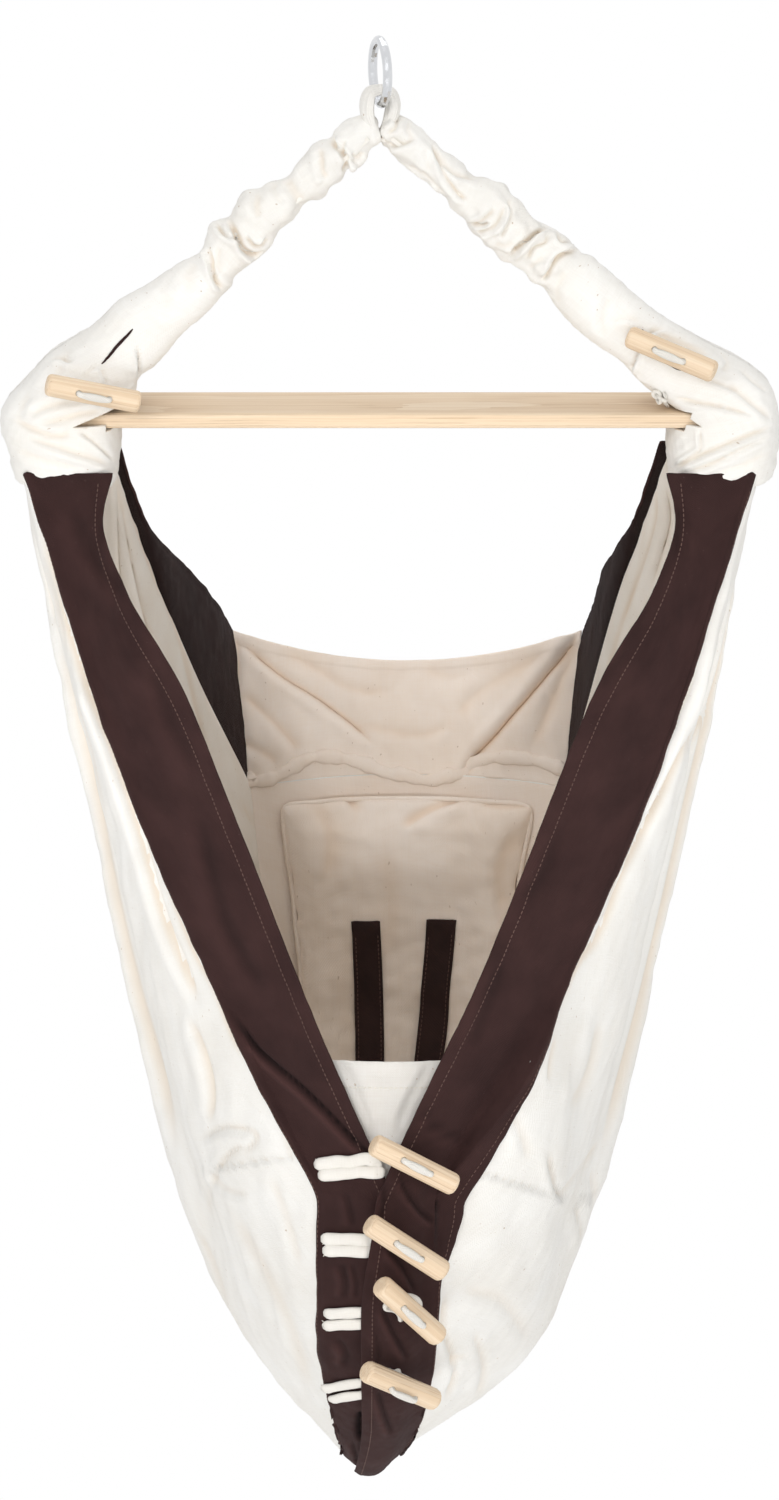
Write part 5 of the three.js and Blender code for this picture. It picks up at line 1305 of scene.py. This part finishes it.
t, c = mesh_grid(steps(BOTTOM_GRID[0], TIP + 0.0005, 0.9995), steps(BOTTOM_GRID[1], -0.998, 0.998))
p = bottom_point(t, c)
n = outward_normals(p, (0, 0, -1))
rim = smoothstep(1 - np.abs(c), 0, 0.06)
p = p + (ruffled(p, n, 91, [(0.5, 70), (0.25, 24)]) - p) * rim[..., None]
# the bottom's inner face takes the lining's colour, with its painted warm bounce light
bottom = cloth("cloth_bottom", row(p), CLOTH_THICK, canvas, n, inner=lining)
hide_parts("bottom_panel")
skins["bottom", 0] = p, -n

c, u = mesh_grid(steps(HEAD_GRID[0], -0.997, 0.997), steps(HEAD_GRID[1], 0.002, 1.0))
p = head_point(c, u)
n = outward_normals(p, (0, 1, 0))
p = p - n * (0.9 * smoothstep(u, 0.925, 0.94))[..., None]
p = ruffled(p, n, 95, [(1.3, 70), (0.5, 26)])
shading_mark = np.zeros(p.shape[:2])
p = press_folds(p, -n, resized(HEAD_FOLDS, 1.5, 1.25, 1.1), shading_mark=shading_mark)
head = cloth("cloth_head", row(p), CLOTH_THICK, lining, n, shading_mark=shading_mark)
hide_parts("head_panel")
skins["head", 0] = p, -n
stitches("stitches_head", p[2:-2, HEAD_SEWN], -n[2:-2, HEAD_SEWN], cream_thread, lift=0.2)

# The apron inside the foot end

APRON_TOP, APRON_FOOT, APRON_ACROSS, APRON_BOW, APRON_CLOTH = 0.8 * VEE, 0.82, 0.24, 9, 0.0018
APRON_FOLDS = [([(340, 1060), (356, 1090), (372, 1130)], 1.6, 3.6, 1.0), ([(432, 1062), (412, 1094),
                 (396, 1130)], 1.6, 3.6, 1.0),
               ([(372, 1062), (384, 1080), (400, 1066)], 0.9, 5.0, 0.6)]


def apron_point(across, down):
    along = lerp(APRON_TOP, APRON_FOOT, down)
    ends = []
    for side in (-1, 1):
        q = front_trim_point(side, along, APRON_ACROSS)
        ends.append(q + inward(q) * (TRIM_THICK + 0.7))
    q = lerp(ends[0], ends[1], ((across + 1) / 2)[..., None])
    bow = APRON_BOW * (1 - smoothstep(down, 0, 0.5)) * (1 - across ** 2)
    return q - np.stack([0 * bow, bow, 0 * bow], -1)


c, d = mesh_grid(steps(70, -1, 1), steps(90, 0.001, 0.999))
p = apron_point(c, d)
n = outward_normals(p, (0, -1, 0))
p = p - n * (0.8 * (1 - smoothstep(d, 0.03, 0.045)))[..., None]
p = ruffled(p, n, 97, [(0.3, 50)])
p = press_folds(p, n, APRON_FOLDS)
# the apron takes the darker canvas copy, painted shade
apron = cloth("cloth_apron", row(p), APRON_CLOTH, apron_painted_shade, n)
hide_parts("foot_apron")
stitches("stitches_apron", p[2:-2, APRON_SEWN], n[2:-2, APRON_SEWN], cream_thread, lift=0.2)

# The mattress swells as cloth under pressure, then gets its piped edge

PAD_FIRST, SEAM_STEPS = 2, 30
PAD_STEPS = SEAM_STEPS * (1 - TIP) - PAD_FIRST
PAD_SPREAD, PAD_SIDE, PAD_MIDDLE, PAD_GAP = 1.04, 11, 19, 0.4
PIPING = 0.0019
PAD_VOXEL, PAD_PRESSURE, PAD_SWELL, PAD_FRAMES = 0.0048, 4.0, 0.007, 20


def pad_station(along):
    """The place along the bottom's seam of a place along the mattress."""
    return TIP + (PAD_FIRST + along * PAD_STEPS - 0.1 * smoothstep(along, 0.95, 1)) / SEAM_STEPS


def pad_place(along, across, height):
    return pad_point(pad_station(along), along, across * PAD_SPREAD, height)


def pad_edge():
    """The pad's own outline before it swells: rows along it, each round its section, in millimetres."""
    rows = []
    across = np.linspace(-1, 1, 46)
    for along in np.linspace(0.004, 0.996, 90):
        q = bottom_point(np.full_like(across, pad_station(along)), across * PAD_WIDTH * PAD_SPREAD)
        up = inward(q)
        end = np.sin(pi * np.clip(along, 0.03, 0.97)) ** 0.3
        thick = PAD_SIDE + (PAD_MIDDLE - PAD_SIDE) * (1 - across ** 2) * end
        low = q + up * (BAG_WALL + PAD_GAP)
        high = q + up * (BAG_WALL + PAD_GAP + thick[:, None])
        rows.append(np.concatenate([low, high[1:-1][::-1]]))
    return np.array(rows)


def evened_ring(ring, rounds):
    for _ in range(rounds):
        ring = (np.roll(ring, 1, 0) + 2 * ring + np.roll(ring, -1, 0)) / 4
    return ring


def closed_rows(name, grid, mat):
    """A closed body from rows of points, each round a section, with flat ends."""
    nu, nv = grid.shape[:2]
    faces = grid_quads(nu, nv, round_cols=True).tolist() + end_caps(nu, nv)
    obj = new_object(name, grid.reshape(-1, 3), faces, None, [mat])
    face_out(obj)
    return obj


def swollen(obj):
    """Blows a closed body up a little with Blender's Cloth. Gives its vertices before and how they move."""
    mod = obj.modifiers.new("remesh", "REMESH")
    mod.mode, mod.voxel_size = "VOXEL", PAD_VOXEL
    apply_modifiers(obj)
    start = vertices(obj)
    mod = obj.modifiers.new("cloth", "CLOTH")
    settings = dict(quality=5, mass=0.15, tension_stiffness=12, compression_stiffness=6,
                    bending_stiffness=0.6, use_pressure=True, uniform_pressure_force=PAD_PRESSURE)
    for key, value in settings.items():
        setattr(mod.settings, key, value)
    mod.settings.effector_weights.gravity = 0
    mod.collision_settings.use_collision = False
    mod.collision_settings.use_self_collision = False
    for f in range(1, PAD_FRAMES + 1):
        bpy.context.scene.frame_set(f)
    apply_modifiers(obj)
    bpy.context.scene.frame_set(1)
    move = vertices(obj) - start
    far = np.linalg.norm(move, axis=-1, keepdims=True)
    move = move * np.minimum(1, PAD_SWELL / np.maximum(far, 1e-9))
    # the voxels' own unevenness is taken out of the form and of the movement
    pairs = np.empty(len(obj.data.edges) * 2, np.int64)
    obj.data.edges.foreach_get("vertices", pairs)
    pairs = pairs.reshape(-1, 2)
    count = np.maximum(np.bincount(pairs.ravel(), minlength=len(move)), 1)[:, None]

    def around(values, share):
        total = np.zeros_like(values)
        np.add.at(total, pairs[:, 0], values[pairs[:, 1]])
        np.add.at(total, pairs[:, 1], values[pairs[:, 0]])
        return (1 - share) * values + share * total / count

    for _ in range(8):
        move, start = around(move, 0.5), around(start, 0.3)
    return start, move


def box_uv(obj):
    """Texture coordinates in metres, over the whole piece at once: across it, and along its slope."""
    co = vertices(obj)
    set_uv(obj.data, np.stack([co[:, 0], co[:, 1] * 0.7 - co[:, 2] * 0.7], -1))


mattress = closed_rows("mattress_pad", row(pad_edge()), lining)
start, move = swollen(mattress)
# it stays on the bottom panel: the swelling goes up and sideways, not down through the cloth
up = inward(start * 1000 - SHIFT)
down = np.minimum(np.sum(move * up, -1, keepdims=True), 0)
move_vertices(mattress, start + move - up * down)
mod = mattress.modifiers.new("smooth", "SUBSURF")
mod.levels = mod.render_levels = 1
apply_modifiers(mattress)
mattress.data.polygons.foreach_set("use_smooth", np.ones(len(mattress.data.polygons), bool))
MATTRESS_FOLDS = [([(300, 782), (325, 784), (345, 792), (360, 815)], 3.4, 5.0, 1.6), ([(400, 828), (424, 812),
                    (445, 802), (466, 794)], 3.4, 5.0, 1.6),
                  ([(246, 800), (262, 826), (266, 856), (258, 884)], 2.6, 6.0, 1.4), ([(478, 800), (506, 806),
                    (544, 796)], 2.0, 6.0, 1.2),
                  ([(316, 800), (330, 836), (328, 880)], 2.0, 8.0, 1.0), ([(520, 830), (500, 868),
                    (506, 916)], 2.0, 8.0, 1.0),
                  ([(380, 850), (392, 900), (384, 960)], 1.2, 10.0, 0.8)]
co = vertices(mattress) * 1000 - SHIFT
cover_n = vectors(mattress.data.vertex_normals, "vector")
facing_in = smoothstep(np.sum(cover_n * inward(co), -1), 0.2, 0.7)
co = co + cover_n * (facing_in * (1.3 * ripple(co, 61, 75) + 0.45 * ripple(co, 62, 26)))[:, None]
shading_mark = np.zeros(len(co))
move_vertices(mattress, row(press_folds(co, cover_n, MATTRESS_FOLDS, shading_mark=shading_mark)))
store_fold_shading(mattress, shading_mark)
box_uv(mattress)
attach(mattress, "cradle")
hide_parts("mattress")

# the mattress's piping
edge = [pad_place(np.linspace(0.02, 0.985, 120), across * 0.985, 0.45) for across in (-1, 1)]
top = pad_place(0.996, np.linspace(-0.94, 0.94, 60), 0.5)
foot = pad_place(0.004, np.linspace(0.94, -0.94, 30), 0.5)
ring = evened_ring(np.concatenate([edge[0], top, edge[1][::-1], foot]), 6)
pad_tree = BVHTree.FromObject(mattress, bpy.context.evaluated_depsgraph_get())
for k, q in enumerate(ring):
    near, facing, _, _ = pad_tree.find_nearest(Vector(row(q)))
    ring[k] = np.array(near) * 1000 - SHIFT + np.array(facing) * 0.6
ring = evened_ring(ring, 10)
tube("mattress_piping", row(ring), PIPING, lining, closed=True, sides=8, slot="lining")

# The puffy seam between the head panel and the bottom, drawn from the picture

ROLL = [(232, 779), (252, 781), (270, 778), (290, 768), (310, 757), (335, 757), (360, 762), (385, 772),
    (410, 777), (440, 778),
        (465, 772), (480, 760), (510, 757), (545, 762), (566, 770)]
both = [np.concatenate([h.reshape(-1, 3), b.reshape(-1, 3)])
        for h, b in zip(skins["head", 0], skins["bottom", 0])]
ROLL_POINTS, ROLL_LIFT, ROLL_RADIUS = 120, 2.9, 0.0050
wave = 1 + 0.16 * np.sin(np.linspace(0, 60, ROLL_POINTS)) + 0.1 * np.sin(np.linspace(0, 143, ROLL_POINTS))
roll = drawn_tube("lining_roll", both, ROLL, ROLL_POINTS, ROLL_LIFT, ROLL_RADIUS * wave, lining, flat=0.5,
                  sides=16, slot="lining")

# The tapes of the closure: two soft bands each, sewn to the left trim, with frayed ends

TAPES = [[[(320.6, 1163.6), (340, 1161.3), (360.8, 1160.2), (385, 1160.6)], [(325, 1174.6), (342.4, 1173.2),
    (360.8, 1171.4), (384, 1169.6)]],
         [[(327.5, 1238.3), (347, 1238.3), (371, 1239.4)], [(328.6, 1249.8), (347, 1250), (370.4, 1251.2)]],
         [[(329.8, 1312.4), (344.7, 1311.7), (366, 1310.6)], [(329, 1324), (344.7, 1323), (366, 1322.6)]],
         [[(327.5, 1386.4), (342.4, 1383.6), (360.8, 1380.6), (368, 1380.8)], [(334.4, 1397), (349.3, 1394.3),
             (369, 1391.8)]]]
TAPE_WIDE, TAPE_HIGH, TAPE_POINTS, HAIRS = 4.1, 1.75, 36, 7
rng = np.random.default_rng(17)
for k, bands in enumerate(TAPES):
    pieces = []
    for band in bands:
        line, n = on_face(*skins["trim", -1], band, TAPE_POINTS, 0.0, rounds=14)
        width = TAPE_WIDE * (1 + 0.04 * np.sin(np.linspace(0, 9, TAPE_POINTS) + k))
        height = TAPE_HIGH * (1 - 0.5 * smoothstep(np.linspace(0, 1, TAPE_POINTS), 0.86, 1))
        line = line + n * (height + 0.15)[:, None]
        across = np.cross(np.gradient(line, axis=0), n)
        pieces.append(tube("band", row(line), width / 1000, tape_look, flat=height / width, across=across,
                           sides=18, ride=False))
        out, wide = unit(line[0] - line[3]), unit(across[0])
        for _ in range(HAIRS):
            root = line[0] + wide * rng.uniform(-3, 3) + n[0] * rng.uniform(-0.6, 0.6) + out * 0.6
            way = unit(out + wide * rng.uniform(-0.7, 0.7) - n[0] * 0.25)
            bend = wide * rng.uniform(-0.7, 0.7)
            far = rng.uniform(1.2, 3.0)
            hair = np.array([root + way * far * f + bend * f * f * far for f in np.linspace(0, 1, 6)])
            pieces.append(tube("hair", row(hair), 0.0003, cream_thread, sides=5, ride=False))
    tape = joined("tape_%d" % (k + 1), pieces)
    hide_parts("tape_anchor_%d" % (k + 1))

# The harness: webbing that lies on the mattress, with sewn edges

WEB_WIDTH, WEB_THICK, WEB_CLOTH, BUCKLE_STEP, STRAP_STEPS = 25, 2, 0.0018, 5, 7
REACH = 25  # how far above the pad the search for its surface starts
STRAP_X = WEB_WIDTH / 2 + 0.7


def pad_top(step, x):
    t = TIP + step / SEAM_STEPS
    half = rib_point(t, 1.0)[..., 0] * PAD_WIDTH
    return pad_point(t, (step - PAD_FIRST) / PAD_STEPS, x / half, 1)


def strap_grid(first, last, first_x, last_x, rows):
    u, v = mesh_grid(steps(rows), steps(12, -0.5, 0.5))
    q = pad_top(lerp(first, last, u), lerp(first_x, last_x, u) + v * WEB_WIDTH)
    n = inward(q)
    # the straps lie slack: they rise off the pad in two low waves
    slack = (2.2 * np.sin(pi * u) ** 2 * (0.5 + 0.5 * np.sin(9 * u + first_x))
             + 0.8 * np.sin(pi * u) * np.sin(7 * u) * v * 2)
    return q, n, np.maximum(slack, 0)


def laid_on(obj, p, n, lift):
    """Moves a grid along its normals until it lies on a piece."""
    tree = BVHTree.FromObject(obj, bpy.context.evaluated_depsgraph_get())
    high = np.full(p.shape[:2], np.nan)
    for i in range(p.shape[0]):
        for j in range(p.shape[1]):
            start = Vector(row(p[i, j] + n[i, j] * REACH))
            hit = tree.ray_cast(start, Vector(-n[i, j]))
            if hit[0] is not None:
                high[i, j] = REACH - hit[3] * 1000
    high = np.where(np.isnan(high), np.nanmedian(high), high)
    for _ in range(8):
        high[1:-1] = np.maximum(high[1:-1], (high[:-2] + 2 * high[1:-1] + high[2:]) / 4)
    return p + n * (high + lift)[..., None]


shoulder = BUCKLE_STEP + 1
for name, first, last, x0, x1, rows in (
        ("shoulder_strap_left", shoulder, shoulder + STRAP_STEPS, -STRAP_X, -1.4 * WEB_WIDTH, 90),
        ("shoulder_strap_right", shoulder, shoulder + STRAP_STEPS, STRAP_X, 1.4 * WEB_WIDTH, 90),
        ("crotch_strap", PAD_FIRST + 1, BUCKLE_STEP - 1, 0, 0, 24)):
    p, n, slack = strap_grid(first, last, x0, x1, rows)
    p = laid_on(mattress, p, n, WEB_THICK + 0.1) + n * slack[..., None]
    strap = cloth("cloth_" + name, row(p), WEB_CLOTH, strap_brown, n)
    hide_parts(name)
    for edge, column in (("a", 1), ("b", 11)):
        stitches("stitches_%s_%s" % (name, edge), p[2:-2, column], n[2:-2, column], brown_thread)

# Toggles: the grain runs along each dowel, and a doubled cord shows between its holes

TOGGLE_HOLES, TOGGLE_RADIUS, CORD_RADIUS, CORD_PLAY = 20, 7.25, 1.9, 0.35
CORD_HALF, CORD_BEND = TOGGLE_HOLES / 2, 1.4 * CORD_RADIUS
CORD_RISE = TOGGLE_RADIUS + CORD_PLAY + CORD_RADIUS


def cord_route():
    """The cord's loop through a dowel's two holes, across the dowel and up from it, in millimetres."""
    route = []
    for i, (cx, cz) in enumerate(((1, 1), (-1, 1), (-1, -1), (1, -1))):
        for a in (i + np.linspace(0, 1, 9)) * pi / 2:
            route.append((cx * (CORD_HALF - CORD_BEND) + CORD_BEND * math.cos(a),
                          cz * (CORD_RISE - CORD_BEND) + CORD_BEND * math.sin(a)))
        if i in (0, 2):
            for f in np.linspace(0.1, 0.9, 12):
                route.append((lerp(CORD_HALF - CORD_BEND, CORD_BEND - CORD_HALF, f) * (1 - i), cz * CORD_RISE))
        else:
            for f in np.linspace(0.15, 0.85, 6):
                route.append((cx * CORD_HALF, lerp(CORD_RISE - CORD_BEND, CORD_BEND - CORD_RISE, f) * (2 - i)))
    return np.array(route)


route = cord_route()
on_top = np.exp(-(route[:, 0] / 6.5) ** 4) * (route[:, 1] > 0)
toggle_looks = {}
for k, word in enumerate(("hood_left", "hood_right", "1", "2", "3", "4")):
    body = "toggle_" + word
    dowel, cord = frame["nodes"]["toggle_" + word], frame["nodes"]["toggle_cord_" + word]
    wood, string = vertices(dowel), vertices(cord)
    middle = wood.mean(0)
    x = np.linalg.svd(wood - middle)[2][0]
    x = x if x[0] > 0 else -x
    out = middle - string.mean(0)
    out = unit(out - x * (out @ x))
    y = np.cross(out, x)
    deepest = float(np.min((string - middle) @ out)) * 1000
    toggle_looks["toggle_" + word] = ash_wood("ash_" + word, x, y, tuple(middle), 0.37 * k + 0.2)
    world = middle + (route[:, :1] * x + route[:, 1:] * out) / 1000
    pieces = [tube("loop", world, 0.00188 + 0.0007 * on_top, cord_look, flat=1 - 0.32 * on_top,
                   across=np.broadcast_to(y, world.shape), closed=True, sides=16, ride=False)]
    stem = np.array([middle + out * lerp(-CORD_RISE, deepest + 1.4, f) / 1000 for f in np.linspace(0, 1, 14)])
    pieces.append(tube("stem", stem, 0.0027, cord_look, flat=0.9, sides=14, ride=False))
    if word == "3":
        # the photograph shows a curl of loose cord under this one
        place = lambda u, v, w: middle + (x * u + y * v - out * w) / 1000
        curl = np.array([place(1 + 7 * math.cos(b), 1.5 + 5.6 * math.sin(b),
                               TOGGLE_RADIUS + 0.5 - 3 * math.sin(b)) for b in np.linspace(0, pi, 26)])
        knob = np.array([place(-8.6 + 1.9 * math.cos(b), -8.4 + 1.9 * math.sin(b), TOGGLE_RADIUS + 0.6)
                         for b in np.linspace(0, 2 * pi, 19)[:-1]])
        strand = np.array([place(u, -7.4 - 0.06 * u * u, TOGGLE_RADIUS + 1.2)
                           for u in np.linspace(-6.5, 6, 20)])
        pieces.append(tube("curl", curl, 0.0026, cord_look, flat=0.8, sides=14, ride=False))
        pieces.append(tube("knob", knob, 0.0018, cord_look, closed=True, ride=False))
        pieces.append(tube("strand", strand, 0.0017, cord_look, ride=False))
    loop = joined("cord_" + word, pieces, body=body)
    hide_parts("toggle_cord_" + word)

# Load straps inside the arms

for side, word in ((-1, "left"), (1, "right")):
    band = frame["nodes"]["load_strap_" + word]
    mesh = band.data.copy()
    mesh.materials.clear()
    mesh.materials.append(tape_look)
    inside = bpy.data.objects.new("band_" + word, mesh)
    bpy.context.scene.collection.objects.link(inside)
    mod = inside.modifiers.new("round", "BEVEL")
    mod.width, mod.segments, mod.limit_method = 0.0006, 2, "ANGLE"
    apply_modifiers(inside)
    box_uv(inside)
    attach(inside, "cradle")
    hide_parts("load_strap_" + word)

# Camera, light and stage

link = bpy.context.scene.collection.objects.link
camera_data = bpy.data.cameras.new("camera")
camera_data.sensor_fit = "AUTO"
camera_data.sensor_width = 36
camera_data.lens = 83.47  # FOCAL pixels, on a sensor of 36 mm for the picture's 1500
camera = bpy.data.objects.new("camera", camera_data)
camera.location = (0.006, -2.2201, 0.3732)
camera.rotation_euler = (math.radians(69), 0, 0)
link(camera)
bpy.context.scene.camera = camera
bpy.context.scene.view_settings.view_transform = "Standard"


def lamp(name, kind, place, aim, power, **settings):
    data = bpy.data.lights.new(name, kind)
    for key, value in dict(settings, energy=power).items():
        setattr(data, key, value)
    obj = bpy.data.objects.new(name, data)
    obj.location = place
    obj.rotation_euler = (Vector(aim) - Vector(place)).to_track_quat("-Z", "Y").to_euler()
    link(obj)


for name, place, aim, (wide, high), power in (
        ("key", (-1.3, -2.6, 1.5), (0, 0, -0.5), (1.6, 1.6), 27),
        ("fill", (2.0, -2.2, -0.1), (0, 0, -0.6), (1.6, 2.0), 16),
        ("low", (-0.5, -2.4, -1.5), (0, 0, -0.7), (1.6, 0.8), 14),
        ("top", (0.2, 0.8, 2.0), (0, 0, -0.5), (2.0, 2.0), 11)):
    lamp(name, "AREA", place, aim, power, shape="RECTANGLE", size=wide, size_y=high)
# a narrow beam into the bag, so that the lining is as light as in the photograph
lamp("inside", "SPOT", (0.0, -2.4, -0.28), (0.0, 0.25, -0.40), 105,
     spot_size=0.22, spot_blend=1.0, shadow_soft_size=0.2)

# The world and the floor are white to the camera, while the world lights the cloth a little less
WORLD_LIGHT = 0.66
world = bpy.data.worlds.new("world")
world.use_nodes = True
sky = Nodes(world.node_tree)
background = world.node_tree.nodes["Background"]
sky.feed(background.inputs[0], (1, 1, 1, 1))
sky.feed(background.inputs[1], sky.value(sky.direct_rays(), 0.0, 1.0, WORLD_LIGHT))
bpy.context.scene.world = world

floor_look = Look("floor")
ground = floor_look.noise(floor_look.node("TexCoord", 3), 6.0, 3.0)
floor_look.set(Base_Color=floor_look.mix(ground, (0.86, 0.86, 0.86), (0.9, 0.9, 0.9)), Roughness=0.9)
bright = floor_look.node("Emission", Color=(1, 1, 1, 1), Strength=1.0)
mixed = floor_look.node("MixShader", i0=floor_look.direct_rays(), i1=floor_look.shader.outputs[0], i2=bright)
floor_look.feed(floor_look.tree.nodes["Material Output"].inputs[0], mixed)
FLOOR_Z = -1.9
floor = new_object("stage_floor", [(x, y, FLOOR_Z) for x, y in ((-14, -10), (14, -10), (14, 26), (-14, 26))],
                   [(0, 1, 2, 3)], mats=[floor_look.mat], smooth=False)

# CAD nodes that stay

LOOKS = {"ash": ash, "chrome": chrome, "webbing": tape_look, "cord": cord_look, "harness": strap_brown,
         "moulded": moulded, "canvas": canvas, "lining": lining, "twill": brown}
slots = {s["node"]: s["material_slot"] for s in record["subparts"]}
for name, obj in frame["nodes"].items():
    for k in range(len(obj.material_slots)):
        obj.material_slots[k].material = toggle_looks.get(name) or LOOKS[slots[name]]
